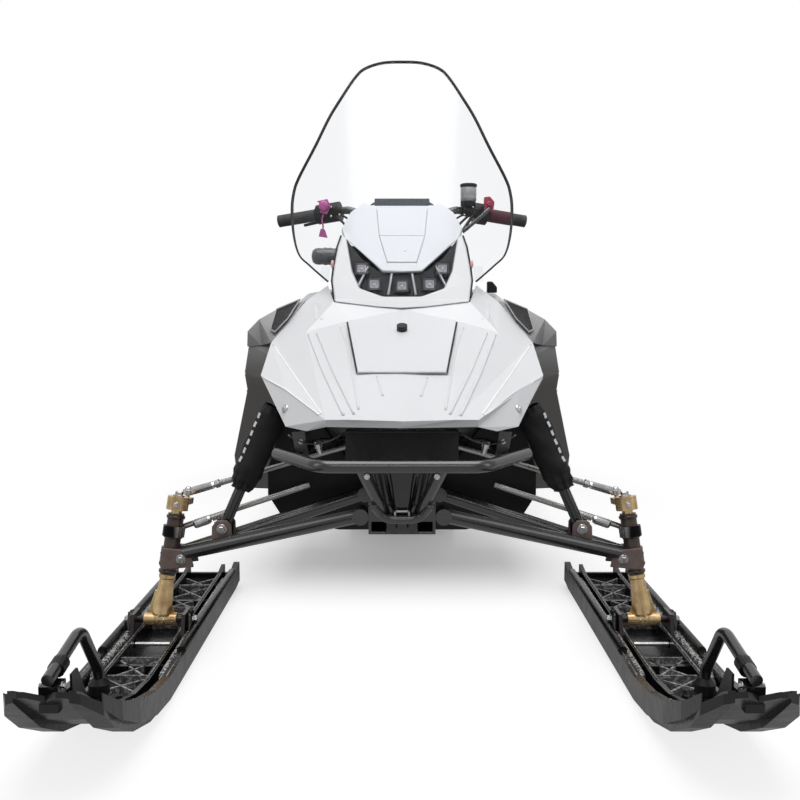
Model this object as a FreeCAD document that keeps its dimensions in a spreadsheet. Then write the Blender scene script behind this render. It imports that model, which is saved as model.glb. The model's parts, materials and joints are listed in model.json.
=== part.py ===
# Snowmobile: a jointed vehicle of painted panels on an aluminium tunnel.
# Lengths are in millimetres. Pieces are drawn with y measured rearwards from the ski bolts,
# and each node's placement then moves it so that the vehicle's middle is the origin.
import FreeCAD, Part
import math
import os
import Sketcher

os.makedirs("parts", exist_ok=True)

SIZES = {
    # whole vehicle
    "overall_length": 3050, "tip_reach": 660, "stance": 1080, "seat_gap": 0.3, "overrun": 5,
    "sheet_wall": 3,
    # skis
    "ski_length": 1120, "ski_width": 184, "ski_tip_rise": 176, "ski_plate": 10, "keel_height": 14,
    "keel_width": 36, "ski_rail_width": 16, "ski_rail_height": 46, "ski_rib_width": 10,
    "ski_rib_gap": 84, "ski_rib_height": 40, "ski_bead": 20, "ski_bead_front": 150, "loop_tube": 20,
    "loop_rise": 28, "loop_foot_height": 58, "loop_bend": 38, "loop_boss": 32, "loop_clamp_wide": 30,
    "loop_clamp_long": 34, "loop_clamp_high": 42,
    # ski bolt and saddle
    "bolt_height": 75, "bolt_diameter": 16, "saddle_cheek": 8, "saddle_long": 96, "saddle_top": 18,
    "leg_foot_diameter": 28, "leg_foot_width": 72, "leg_root": 44, "pin_clearance": 0.3,
    # ski legs, measured along the steering axis from the ski bolt
    "axis_lean_in": 39, "axis_lean_back": 40, "axis_rise": 283, "leg_tube": 31, "leg_collar_at": 94,
    "leg_collar": 6, "leg_shaft": 24, "housing_at": 102, "housing_long": 136, "housing_tube": 36,
    "clamp_at": 246, "clamp_high": 30, "clamp_diameter": 48, "steer_arm": 95, "steer_arm_wide": 26,
    "steer_arm_thick": 14, "rod_eye": 22, "rod_stud": 10, "rod_eye_high": 12, "rod_gap": 6,
    "rod_tube": 13, "rod_inner_x": 24, "rod_lift": 50,
    # front suspension
    "arm_tube": 32, "arm_bush": 34, "arm_bush_long": 46, "arm_front_y": 130, "arm_rear_y": 88,
    "arm_inner_z": 343, "arm_knuckle": 44, "arm_knuckle_high": 40, "radius_inner_x": 213,
    "radius_inner_z": 363, "radius_y": 84, "shock_low_x": 396, "shock_low_y": 8.5, "shock_low_z": 284,
    "shock_eye": 28, "shock_eye_wide": 26, "shock_cheek": 6, "shock_cheek_wide": 36,
    "shock_cheek_low": 240, "shock_top_z": 588, "shock_tube": 25, "shock_rod": 14, "cover_diameter": 74,
    "cover_long": 198, "cover_at": 96,
    # front frame, belly and engine
    "frame_half": 68, "frame_front": 170, "frame_low": 312, "frame_high": 460, "frame_wall": 6,
    "nose_low": 338, "nose_high": 382, "notch_low": 428, "notch_front": 56, "tower_front": 30,
    "tower_back": 56, "tower_deep": 24, "tower_inner": 108, "bearing_low": 502, "bearing_high": 532,
    "bearing_half": 26, "bearing_back": 96, "tower_outer": 262, "belly_front": 128, "belly_back": 430,
    "belly_low": 246, "belly_half": 150, "belly_corner_x": 280, "belly_corner_z": 272,
    "belly_side_x": 316, "belly_side_z": 330, "belly_lip_z": 392, "belly_wall": 4, "bulkhead_top": 527,
    "bulkhead_half": 272, "engine_front": 152, "engine_back": 424, "engine_low": 290,
    "engine_high": 556, "engine_half": 180, "foot_inner": 90, "foot_outer": 135,
    # tunnel, running boards and track
    "tunnel_half": 208, "tunnel_back": 2230, "tunnel_top": 470, "board_height": 292, "board_outer": 396,
    "board_front": 560, "board_back": 1760, "board_thick": 22, "board_rim": 24, "board_bar": 16,
    "board_windows": 12, "track_width": 381, "belt": 8, "lug_height": 32, "lug_thick": 12,
    "lug_count": 54, "lug_wide": 118, "rib_height": 9, "drive_y": 560, "drive_z": 330,
    "drive_radius": 84, "nose_y": 1120, "nose_radius": 150, "carrier_y": 1600, "carrier_z": 328,
    "carrier_radius": 55, "idler_y": 2060, "idler_radius": 88, "axle": 24, "rail_thick": 14,
    "rail_x": 70, "rail_high": 76, "bogie_radius": 58, "bogie_first_y": 1400, "bogie_second_y": 1720,
    "bogie_pin": 16, "wheel_wide": 26, "hub": 52, "web": 8, "tread_wall": 9, "skid_tube": 30,
    "sprocket_wide": 40, "skid_side": 150, "front_arm_top_y": 930, "front_arm_low_y": 1250,
    "rear_arm_top_y": 1440, "rear_arm_low_y": 1860, "arm_side_x": 35,
    # hood, lowest lip and faceted top
    "lip_y": 258, "lip_z": 541, "hood_length": 588, "hood_rise": 284, "hood_half": 310, "hood_wall": 4,
    "hatch_thick": 5, "hatch_gap": 0.4, "hatch_frame": 14, "knob_diameter": 24, "knob_high": 12,
    # lamps, cowl, dash and windshield
    "radiator_half": 112, "radiator_high": 66, "radiator_deep": 40, "cowl_back": 74, "cowl_up": 90,
    "cowl_run": 188, "cowl_half": 156, "pod_depth": 55.4, "lamp_back_at": 35, "lamp_back_deep": 14,
    "eye_deep": 20, "clip_thick": 8, "pod_foot_y": 209, "pod_foot_z": 768, "pod_rise": 268,
    "pod_half": 172, "pod_lean": 0.6, "lens_thick": 3, "lens_inset": 6, "cowl_thick": 8,
    "shield_foot_y": 241, "shield_foot_z": 831, "shield_rise": 612, "shield_half": 290,
    "shield_thick": 4, "shield_sweep": 110, "shield_lean": 0.6, "trim_wide": 7.5, "trim_lap": 2,
    "trim_foot": 110, "dash_back": 575, "dash_half": 73, "dash_low": 985, "dash_high": 1057,
    # console, seat and tail
    "console_front": 470, "console_back": 900, "console_top": 890, "seat_back": 1860, "seat_half": 165,
    "seat_high": 770, "rear_tube": 25, "rear_reach": 2390, "rear_half": 200, "rear_z": 520,
    "rear_root": 223, "flap_thick": 6, "flap_low": 190, "tail_deep": 34, "tail_high": 50,
    "tail_low": 590, "hitch_plate": 8, "hitch_wide": 76, "hitch_long": 96, "hitch_pin": 16,
    # front bumper
    "bumper_tube": 25, "bumper_y": 280, "bumper_z": 471, "bumper_half": 256, "bumper_end_y": 130,
    "bumper_bend": 46, "bumper_leg_x": 78, "bumper_leg_foot_x": 36, "bumper_plate": 13,
    "bumper_pad": 35, "bumper_leg_foot_z": 360,
    # handlebar, with the steering post's axis
    "post_foot_y": 44, "post_foot_z": 482, "post_top_y": 650, "post_top_z": 1012, "post_tube": 24,
    "pitman": 68, "pitman_thick": 8, "pitman_wide": 40, "bar_tube": 22, "bar_half": 364,
    "bar_back": 740, "bar_grip_z": 1022, "bar_rise_x": 157, "bar_rise_z": 1050, "bar_bend": 40,
    "grip_long": 118, "grip_diameter": 34, "switch_long": 36, "switch_diameter": 60, "block_long": 70,
    "block_diameter": 56, "lever_tube": 9, "reservoir": 44, "reservoir_high": 46, "reservoir_x": 191,
    "reservoir_lift": 14, "cylinder_long": 36, "cylinder_diameter": 32, "brake_tip_x": 174,
    "brake_tip_y": 640, "brake_tip_z": 988, "throttle_reach": 52,
    # small controls
    "recoil_y": 480, "recoil_x": 153.8, "recoil_z": 905, "recoil_stem": 26, "recoil_diameter": 40,
    "recoil_wide": 54, "selector_x": 226, "selector_y": 440, "selector_z": 807.5, "selector_wide": 26,
    "selector_high": 30, "selector_long": 24,
    # side panels
    "side_front": 150, "side_back": 880, "side_rise": 594, "side_half": 424, "side_wall": 5,
    "vent_thick": 4, "vent_inset": 3.4, "vent_front_inset": 12, "vent_slot": 5, "vent_slots": 5,
}

doc = FreeCAD.newDocument("Snowmobile")
sheet = doc.addObject("Spreadsheet::Sheet", "Sizes")
for row, (name, value) in enumerate(SIZES.items(), start=1):
    sheet.set(f"A{row}", name)
    sheet.set(f"B{row}", str(value))
    sheet.setAlias(f"B{row}", name)
doc.recompute()


class Size:
    """A value from the sheet together with the expression that gives it."""

    def __init__(self, value, text):
        self.value = float(value)
        self.text = text

    def __float__(self):
        return self.value

    def __neg__(self):
        return Size(-self.value, f"(0 - {self.text})")

    def __add__(self, other):
        return Size(self.value + float(other), f"({self.text} + {text_of(other)})")

    def __radd__(self, other):
        return Size(float(other) + self.value, f"({text_of(other)} + {self.text})")

    def __sub__(self, other):
        return Size(self.value - float(other), f"({self.text} - {text_of(other)})")

    def __rsub__(self, other):
        return Size(float(other) - self.value, f"({text_of(other)} - {self.text})")

    def __mul__(self, other):
        return Size(self.value * float(other), f"({self.text} * {text_of(other)})")

    __rmul__ = __mul__

    def __truediv__(self, other):
        return Size(self.value / float(other), f"({self.text} / {text_of(other)})")


def text_of(value):
    return value.text if isinstance(value, Size) else repr(float(value))


class Sheet:
    """Reads a size from the spreadsheet by its alias."""

    def __getattr__(self, name):
        return Size(sheet.get(name), f"Sizes.{name}")


S = Sheet()
NODES = {}


def bind(thing, prop, size):
    """Set a property from a size and keep it bound to the sheet."""
    if isinstance(size, Size):
        thing.setExpression(prop, size.text)
    else:
        thing.setExpression(prop, repr(float(size)))


def vec(x, y, z):
    return FreeCAD.Vector(float(x), float(y), float(z))


def node(label, thing):
    """Name a finished sub-part and move it into the vehicle's own frame."""
    thing.Label = label
    bind(thing, "Placement.Base.y", S.tip_reach - S.overall_length / 2)
    NODES[label] = thing
    return thing


class Piece:
    """A PartDesign body whose outlines are sketches bound to the sheet."""

    def __init__(self, name):
        self.body = doc.addObject("PartDesign::Body", name)
        self.name = name
        self.count = 0

    def sketch(self, plane, start):
        self.count += 1
        sketch = self.body.newObject("Sketcher::SketchObject", f"{self.name}_outline{self.count}")
        face = [f for f in self.body.Origin.OriginFeatures if f.Role == plane + "_Plane"][0]
        sketch.AttachmentSupport = [(face, "")]
        sketch.MapMode = "FlatFace"
        bind(sketch, "AttachmentOffset.Base.z", -start if plane == "XZ" else start)
        return sketch

    def polygon(self, plane, points, start):
        sketch = self.sketch(plane, start)
        spots = [FreeCAD.Vector(float(u), float(v), 0) for u, v in points]
        for k, spot in enumerate(spots):
            sketch.addGeometry(Part.LineSegment(spot, spots[(k + 1) % len(spots)]))
        for k in range(len(spots)):
            sketch.addConstraint(Sketcher.Constraint("Coincident", k, 2, (k + 1) % len(spots), 1))
        for k, (u, v) in enumerate(points):
            for kind, size in (("DistanceX", u), ("DistanceY", v)):
                if float(size) == 0:
                    other = "Vertical" if kind == "DistanceX" else "Horizontal"
                    sketch.addConstraint(Sketcher.Constraint(other, -1, 1, k, 1))
                else:
                    place = sketch.addConstraint(Sketcher.Constraint(kind, -1, 1, k, 1, float(size)))
                    bind(sketch, f"Constraints[{place}]", size)
        return sketch

    def circle(self, plane, centre, radius, start):
        sketch = self.sketch(plane, start)
        middle = FreeCAD.Vector(float(centre[0]), float(centre[1]), 0)
        ring = sketch.addGeometry(Part.Circle(middle, FreeCAD.Vector(0, 0, 1), float(radius)))
        place = sketch.addConstraint(Sketcher.Constraint("Radius", ring, float(radius)))
        bind(sketch, f"Constraints[{place}]", radius)
        for kind, size in (("DistanceX", centre[0]), ("DistanceY", centre[1])):
            if float(size) == 0:
                other = "Vertical" if kind == "DistanceX" else "Horizontal"
                sketch.addConstraint(Sketcher.Constraint(other, -1, 1, ring, 3))
            else:
                place = sketch.addConstraint(Sketcher.Constraint(kind, -1, 1, ring, 3, float(size)))
                bind(sketch, f"Constraints[{place}]", size)
        return sketch

    def feature(self, kind, sketch, plane, length, centred=False):
        made = self.body.newObject("PartDesign::" + kind, f"{self.name}_{kind.lower()}{self.count}")
        made.Profile = sketch
        bind(made, "Length", length)
        made.Midplane = centred
        towards_plus = plane != "XZ"
        made.Reversed = not towards_plus if kind == "Pad" else towards_plus
        sketch.Visibility = False
        return made

    def pad(self, plane, points, start, length, centred=False):
        return self.feature("Pad", self.polygon(plane, points, start), plane, length, centred)

    def pocket(self, plane, points, start, length, centred=False):
        return self.feature("Pocket", self.polygon(plane, points, start), plane, length, centred)

    def disc(self, plane, centre, radius, start, length, centred=False):
        return self.feature("Pad", self.circle(plane, centre, radius, start), plane, length, centred)

    def bore(self, plane, centre, radius, start, length, centred=False):
        return self.feature("Pocket", self.circle(plane, centre, radius, start), plane, length, centred)


def rectangle(low, high):
    return [(low[0], low[1]), (high[0], low[1]), (high[0], high[1]), (low[0], high[1])]


def shared(shares, widths, origin=(0, 0)):
    """Outline points from shares of two sizes, counted from an origin."""
    return [(origin[0] + widths[0] * u, origin[1] + widths[1] * v) for u, v in shares]


def rod(name, foot, head, radius):
    """A round bar between two places."""
    bar = doc.addObject("Part::Cylinder", name)
    bind(bar, "Radius", radius)
    start = vec(*foot)
    along = vec(*head) - start
    bar.Height = along.Length
    bar.Placement = FreeCAD.Placement(start, FreeCAD.Rotation(FreeCAD.Vector(0, 0, 1), along))
    return bar


def cone(name, foot, head, foot_radius, head_radius):
    """A round bar that tapers between two places."""
    bar = doc.addObject("Part::Cone", name)
    bind(bar, "Radius1", foot_radius)
    bind(bar, "Radius2", head_radius)
    start = vec(*foot)
    along = vec(*head) - start
    bar.Height = along.Length
    bar.Placement = FreeCAD.Placement(start, FreeCAD.Rotation(FreeCAD.Vector(0, 0, 1), along))
    return bar


def shape(name, solid):
    made = doc.addObject("Part::Feature", name)
    made.Shape = solid
    return made


def fuse(name, *things):
    made = doc.addObject("Part::MultiFuse", name)
    made.Shapes = list(things)
    made.Refine = True
    return made


def cut(name, base, *tools):
    made = doc.addObject("Part::Cut", name)
    made.Base = base
    made.Tool = tools[0] if len(tools) == 1 else fuse(name + "_tools", *tools)
    return made


def together(name, *things):
    made = doc.addObject("Part::Compound", name)
    made.Links = list(things)
    return made


def mirrored(name, thing):
    made = doc.addObject("Part::Mirroring", name)
    made.Source = thing
    made.Normal = (1, 0, 0)
    return made


def both_sides(label, thing):
    return node(label, together(label, thing, mirrored(label + "_other", thing)))


def bent_tube(name, places, radius, bend):
    """A round tube along straight runs joined by arcs of one bend radius."""
    points = [vec(*place) for place in places]
    edges = []
    start = points[0]
    for before, corner, after in zip(points, points[1:], points[2:]):
        into = (before - corner).normalize()
        out = (after - corner).normalize()
        half = into.getAngle(out) / 2
        back = float(bend) / math.tan(half)
        first = corner + into * back
        last = corner + out * back
        middle_line = (into + out).normalize()
        middle = corner + middle_line * (float(bend) / math.sin(half) - float(bend))
        edges.append(Part.LineSegment(start, first).toShape())
        edges.append(Part.Arc(first, middle, last).toShape())
        start = last
    edges.append(Part.LineSegment(start, points[-1]).toShape())
    path = Part.Wire(edges)
    ring = Part.Wire([Part.makeCircle(float(radius), points[0], points[1] - points[0])])
    return shape(name, path.makePipeShell([ring], True, False))


def at_shares(table, origin, widths):
    """Named corners from shares of three sizes, counted from an origin."""
    return {name: vec(*(o + w * s for o, w, s in zip(origin, widths, shares)))
            for name, shares in table.items()}


# Skis

SKI_CURVE_SHARES = [(-0.589, 1.0), (-0.563, 0.87), (-0.5, 0.54), (-0.42, 0.25), (-0.33, 0.07), (-0.25, 0.0),
                    (0.36, 0.0), (0.411, 0.04)]
RAIL_HEIGHT_SHARES = [0.3, 0.5, 0.7, 0.9, 1.0, 1.0, 1.0, 1.1]
KEEL_DEPTH_SHARES = [0.4, 0.7, 1.0, 1.0, 1.0, 1.0, 1.0, 0.5]
TIP_CUT_SHARES = [
    (1.06, -0.62), (0.0, -0.62), (0.0, -0.572), (0.3, -0.592), (0.62, -0.58), (0.84, -0.545),
    (0.95, -0.49), (1.0, -0.42), (1.06, -0.42),
]
CROSS_WALL_SHARES = [-0.17, 0.19, 0.3, 0.4]
LOOP_FOOT_SHARE = -0.364
LOOP_PEAK_SHARE = -0.434
LOOP_FRONT_SHARE = -0.5464


def band(height, height_shares):
    """A strip that follows the ski's curve, as deep as its height shares say."""
    low = shared(SKI_CURVE_SHARES, (S.ski_length, S.ski_tip_rise), (0, S.keel_height))
    high = [(u, v + height * share) for (u, v), share in zip(low, height_shares)]
    return low + high[::-1]


def ski_top(share_y):
    """Height of the ski's plate at a share of its length ahead of the bolt."""
    share_y = float(share_y)
    for (u0, v0), (u1, v1) in zip(SKI_CURVE_SHARES, SKI_CURVE_SHARES[1:]):
        if u0 <= share_y <= u1:
            rise = v0 + (v1 - v0) * (share_y - u0) / (u1 - u0)
            return S.keel_height + S.ski_plate + S.ski_tip_rise * rise
    return S.keel_height + S.ski_plate


def loop_front():
    """Middle of the loop's tube where the clamp on the tip holds it."""
    return S.ski_length * LOOP_FRONT_SHARE, ski_top(LOOP_FRONT_SHARE) + S.loop_clamp_high


def ski():
    """A moulded ski: plate, two keels, outer rails with round beads, and a channel with cross walls."""
    piece = Piece("ski")
    half = S.ski_width / 2
    flat_shares = [1] * len(SKI_CURVE_SHARES)
    piece.pad("YZ", band(S.ski_plate, flat_shares), 0, S.ski_width, True)
    rail = half - S.ski_rail_width
    for start in (rail, -rail - S.ski_rail_width):
        piece.pad("YZ", band(S.ski_rail_height, RAIL_HEIGHT_SHARES), start, S.ski_rail_width)
    for start in (S.ski_rib_gap / 2, -S.ski_rib_gap / 2 - S.ski_rib_width):
        piece.pad("YZ", band(S.ski_rib_height, RAIL_HEIGHT_SHARES), start, S.ski_rib_width)
    for start in (S.ski_rib_gap / 2, -S.ski_rib_gap / 2 - S.keel_width):
        piece.pad("YZ", band(-S.keel_height, KEEL_DEPTH_SHARES), start, S.keel_width)
    floor = S.keel_height + S.ski_plate
    for share in CROSS_WALL_SHARES:
        wall = rectangle((-half, floor - S.ski_plate / 2), (half, floor + S.ski_rib_height / 2))
        piece.pad("XZ", wall, S.ski_length * share, S.ski_rib_width)
    bead_z = S.keel_height + S.ski_rail_height
    for x in (half - S.ski_bead / 2, -half + S.ski_bead / 2):
        piece.disc("XZ", (x, bead_z), S.ski_bead / 2, -S.ski_bead_front,
                   S.ski_bead_front + S.ski_length * SKI_CURVE_SHARES[-2][0])
    foot_low = ski_top(LOOP_FOOT_SHARE) - S.ski_plate
    foot_y = S.ski_length * LOOP_FOOT_SHARE
    piece.disc("XY", (0, foot_y), S.loop_boss / 2, foot_low, S.loop_foot_height + S.ski_plate)
    front_y, front_z = loop_front()
    clamp = rectangle((-S.loop_clamp_wide / 2, front_y - S.loop_clamp_long / 2),
                      (S.loop_clamp_wide / 2, front_y + S.loop_clamp_long / 2))
    front_low = ski_top(LOOP_FRONT_SHARE) - S.ski_plate
    piece.pad("XY", clamp, front_low, front_z - S.loop_tube / 2 - S.seat_gap - front_low)
    for side in (1, -1):
        corner = [(half * across * side, S.ski_length * along) for across, along in TIP_CUT_SHARES]
        piece.pocket("XY", corner, 0, S.ski_tip_rise * 2)
    return piece.body


def placed_ski_part(label, thing):
    """Put a left ski piece at its ski's middle, and its mirror on the right."""
    left = together(label + "_left", thing)
    node(label + "_left", left)
    bind(left, "Placement.Base.x", S.stance / 2)
    other = mirrored(label + "_flip", thing)
    right = together(label + "_right", other)
    node(label + "_right", right)
    bind(right, "Placement.Base.x", -S.stance / 2)


def ski_loop():
    """The grab loop from the boss up to its peak and forward to the clamp on the tip."""
    foot_y = S.ski_length * LOOP_FOOT_SHARE
    foot_z = ski_top(LOOP_FOOT_SHARE) + S.loop_foot_height + S.seat_gap
    front_y, front_z = loop_front()
    places = [(0, foot_y, foot_z), (0, foot_y, foot_z + S.loop_tube),
              (0, S.ski_length * LOOP_PEAK_SHARE, front_z + S.loop_rise),
              (0, front_y - S.loop_clamp_long / 2, front_z)]
    return bent_tube("loop_tube", places, S.loop_tube / 2, S.loop_bend)


def ski_saddle():
    piece = Piece("saddle")
    foot = S.keel_height + S.ski_plate + S.seat_gap
    half = S.saddle_long / 2
    outline = [(-half, foot), (half, foot), (half / 2, S.bolt_height + S.saddle_top),
               (-half / 2, S.bolt_height + S.saddle_top)]
    inside = S.ski_rib_gap / 2 + S.ski_rib_width + S.seat_gap
    for start in (inside, -inside - S.saddle_cheek):
        piece.pad("YZ", outline, start, S.saddle_cheek)
    wide = (inside + S.saddle_cheek * 2) * 2
    piece.disc("YZ", (0, S.bolt_height), S.bolt_diameter / 2, 0, wide, True)
    return piece.body


placed_ski_part("ski", ski())
placed_ski_part("ski_loop", ski_loop())
placed_ski_part("ski_saddle", ski_saddle())

# Legs that steer the skis


def axis_direction():
    return vec(-S.axis_lean_in, S.axis_lean_back, S.axis_rise).normalize()


def on_axis(along):
    """A place on the left steering axis, measured from the ski bolt."""
    return vec(S.stance / 2, 0, S.bolt_height) + axis_direction() * float(along)


def on_arm(along, out, back):
    """A place beside the left steering axis, out along x and back along y."""
    up = axis_direction()
    rear = up.cross(FreeCAD.Vector(1, 0, 0)).normalize()
    side = rear.cross(up).normalize()
    return on_axis(along) + rear * float(back) + side * float(out)


def rod_plane():
    """Distance along the steering axis of the middle of the tie rod's eye."""
    middle = S.clamp_at + S.clamp_high / 2
    return middle + S.steer_arm_thick / 2 + S.rod_gap + S.rod_eye_high / 2


def ski_leg():
    bolt = vec(S.stance / 2, 0, S.bolt_height)
    half = vec(S.leg_foot_width / 2, 0, 0)
    foot = rod("leg_foot", bolt - half, bolt + half, S.leg_foot_diameter / 2)
    tube = rod("leg_tube", on_axis(0), on_axis(S.leg_collar_at), S.leg_tube / 2)
    root = cone("leg_root", on_axis(S.leg_foot_diameter / 2), on_axis(S.leg_collar_at),
                S.leg_root / 2, S.leg_tube / 2)
    collar = rod("leg_collar", on_axis(S.leg_collar_at), on_axis(S.leg_collar_at + S.leg_collar),
                 S.leg_tube / 2 + S.leg_collar / 2)
    top = S.clamp_at + S.clamp_high
    shaft = rod("leg_shaft", on_axis(S.leg_collar_at), on_axis(top), S.leg_shaft / 2)
    clamp = rod("leg_clamp", on_axis(S.clamp_at), on_axis(top), S.clamp_diameter / 2)
    middle = S.clamp_at + S.clamp_high / 2
    thick = axis_direction() * (float(S.steer_arm_thick) / 2)
    arm = Part.Face(Part.makePolygon([
        on_arm(middle, -S.steer_arm_wide / 2, 0) - thick, on_arm(middle, S.steer_arm_wide / 2, 0) - thick,
        on_arm(middle, S.steer_arm_wide / 2, S.steer_arm) - thick,
        on_arm(middle, -S.steer_arm_wide / 2, S.steer_arm) - thick,
        on_arm(middle, -S.steer_arm_wide / 2, 0) - thick])).extrude(thick * 2)
    stud_top = rod_plane() + S.rod_eye_high / 2 + S.seat_gap
    stud = rod("leg_stud", on_arm(middle, 0, S.steer_arm - S.rod_eye / 2),
               on_arm(stud_top, 0, S.steer_arm - S.rod_eye / 2), S.rod_stud / 2)
    body = fuse("leg_solid", foot, tube, root, collar, shaft, clamp, shape("leg_arm", arm), stud)
    hole = rod("leg_hole", bolt - half * 2, bolt + half * 2, S.bolt_diameter / 2 + S.pin_clearance)
    return cut("leg", body, hole)


leg = ski_leg()
node("ski_leg_left", together("ski_leg_left", leg))
node("ski_leg_right", together("ski_leg_right", mirrored("leg_flip", leg)))


def post_axis():
    return vec(0, S.post_top_y - S.post_foot_y, S.post_top_z - S.post_foot_z).normalize()


def pitman_end():
    """Middle of the steering post's lower arm, where the tie rods meet it."""
    across = post_axis().cross(FreeCAD.Vector(1, 0, 0))
    return vec(0, S.post_foot_y, S.post_foot_z) + across * float(S.pitman)


def tie_rod():
    up = axis_direction()
    eye_at = on_arm(rod_plane(), 0, S.steer_arm - S.rod_eye / 2)
    half = up * (float(S.rod_eye_high) / 2)
    eye = rod("rod_eye", eye_at - half, eye_at + half, S.rod_eye / 2)
    end = pitman_end()
    inner = vec(S.rod_inner_x, end.y, end.z + float(S.rod_lift))
    bar = rod("rod_bar", eye_at, inner, S.rod_tube / 2)
    knob = doc.addObject("Part::Sphere", "rod_knob")
    bind(knob, "Radius", S.rod_eye / 2)
    knob.Placement = FreeCAD.Placement(inner, FreeCAD.Rotation())
    hole = rod("rod_hole", eye_at - half * 2, eye_at + half * 2, S.rod_stud / 2 + S.pin_clearance)
    return cut("tie_rod", fuse("rod_solid", eye, bar, knob), hole)


tie = tie_rod()
node("tie_rod_left", together("tie_rod_left", tie))
node("tie_rod_right", together("tie_rod_right", mirrored("tie_flip", tie)))

# Front suspension, fixed


def spindle_housing():
    top = S.housing_at + S.housing_long
    tube = rod("housing_tube", on_axis(S.housing_at), on_axis(top), S.housing_tube / 2)
    hole = rod("housing_hole", on_axis(S.housing_at - S.overrun), on_axis(top + S.overrun),
               S.leg_shaft / 2 + S.pin_clearance)
    return cut("housing", tube, hole)


both_sides("spindle_housings", spindle_housing())


def lower_arm():
    low = S.housing_at + S.arm_knuckle_high / 2
    centre = on_axis(low + S.arm_knuckle_high / 2)
    knuckle = rod("arm_knuckle", on_axis(low), on_axis(low + S.arm_knuckle_high), S.arm_knuckle / 2)
    inner_x = S.frame_half + S.arm_bush / 2 + S.seat_gap
    half = vec(0, S.arm_bush_long / 2, 0)
    pieces = [knuckle]
    for name, y in (("front", -S.arm_front_y), ("rear", S.arm_rear_y)):
        inner = vec(inner_x, y, S.arm_inner_z)
        pieces.append(rod("arm_" + name, inner, centre, S.arm_tube / 2))
        pieces.append(rod("bush_" + name, inner - half, inner + half, S.arm_bush / 2))
    cheeks = Piece("shock_cheeks")
    outline = rectangle((S.shock_low_x - S.shock_cheek_wide / 2, S.shock_cheek_low),
                        (S.shock_low_x + S.shock_cheek_wide / 2, S.shock_low_z + S.shock_eye / 2))
    reach = S.shock_eye_wide / 2 + S.seat_gap
    for start in (S.shock_low_y + reach, S.shock_low_y - reach - S.shock_cheek):
        cheeks.pad("XZ", outline, start, S.shock_cheek)
    hole = rod("arm_hole", on_axis(S.housing_at - S.overrun * 4), on_axis(low + S.arm_knuckle_high * 3),
               S.housing_tube / 2 + S.seat_gap)
    return cut("lower_arm", fuse("arm_solid", cheeks.body, *pieces), hole)


both_sides("lower_arms", lower_arm())


def radius_rod():
    centre = on_axis(S.housing_at + S.housing_long - S.arm_knuckle_high)
    ring_half = axis_direction() * (float(S.rod_eye_high))
    ring = rod("radius_ring", centre - ring_half, centre + ring_half, S.housing_tube / 2 + S.rod_tube / 2)
    outer = centre + vec(0, S.housing_tube / 2, 0)
    bar = rod("radius_bar", outer, vec(S.radius_inner_x, S.radius_y, S.radius_inner_z), S.rod_tube / 2)
    hole = rod("radius_hole", centre - ring_half * 3, centre + ring_half * 3, S.housing_tube / 2 + S.seat_gap)
    return cut("radius_rod", fuse("radius_solid", ring, bar), hole)


both_sides("radius_rods", radius_rod())


def shock_top_y():
    """The upper eye stands against the front of the frame's tower."""
    return S.tower_front - S.seat_gap - S.shock_eye_wide / 2


def shock_place(share):
    low = vec(S.shock_low_x, S.shock_low_y, S.shock_low_z)
    top = vec(S.tower_outer, shock_top_y(), S.shock_top_z)
    return low + (top - low) * share


def shock_length():
    return (shock_place(1) - shock_place(0)).Length


def shock():
    long = shock_length()
    start = float(S.cover_at) / long
    bar = rod("shock_bar", shock_place(0), shock_place(start), S.shock_tube / 2)
    upper = rod("shock_upper", shock_place(start), shock_place(1), S.shock_rod / 2)
    half = vec(0, S.shock_eye_wide / 2, 0)
    eyes = [rod(f"shock_eye{share}", shock_place(share) - half, shock_place(share) + half, S.shock_eye / 2)
            for share in (0, 1)]
    return fuse("shock", bar, upper, *eyes)


both_sides("shocks", shock())


def shock_cover():
    long = shock_length()
    start = float(S.cover_at + S.seat_gap) / long
    end = float(S.cover_at + S.cover_long) / long
    tube = rod("cover_tube", shock_place(start), shock_place(end), S.cover_diameter / 2)
    hole = rod("cover_hole", shock_place(start / 2), shock_place(end + start), S.shock_rod / 2 + S.seat_gap)
    return cut("cover", tube, hole)


both_sides("shock_covers", shock_cover())

# Hood corners, which the frame's towers reach up to

HOOD_SHARES = {
    "lip": (0, 0, 0), "lip_a": (0.471, 0.031, 0.0), "lip_b": (0.603, 0.09, -0.046),
    "lip_d": (0.755, 0.167, -0.035), "nose": (0, -0.007, 0.049), "nose_a": (0.316, 0.003, 0.056),
    "nose_b": (0.474, 0.022, 0.051),
    "low_fold": (0.777, 0.277, 0.204), "widest": (1.0, 0.464, 0.282), "shoulder": (0.997, 0.728, 0.51),
    "ridge": (0.726, 0.694, 0.599), "back": (0.774, 0.923, 0.852), "back_top": (0.603, 1.0, 1.0),
    "pod_side": (0.529, 0.813, 0.849), "pod_foot": (0, 0.794, 0.782), "crease": (0.41, 0.728, 0.694),
}
HOOD_FACES = [
    ["lip", "lip_a", "nose_b", "nose_a", "nose"], ["lip_a", "lip_b", "lip_d", "low_fold", "nose_b"],
    ["lip_d", "widest", "low_fold"], ["nose_b", "low_fold", "widest", "shoulder"],
    ["nose_a", "nose_b", "shoulder", "ridge"], ["nose_a", "ridge", "crease"],
    ["nose", "nose_a", "crease", "pod_foot"], ["ridge", "shoulder", "back"],
    ["ridge", "back", "back_top", "pod_side"], ["crease", "ridge", "pod_side"],
    ["crease", "pod_side", "pod_foot"],
]

# Frame, belly and engine


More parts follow.
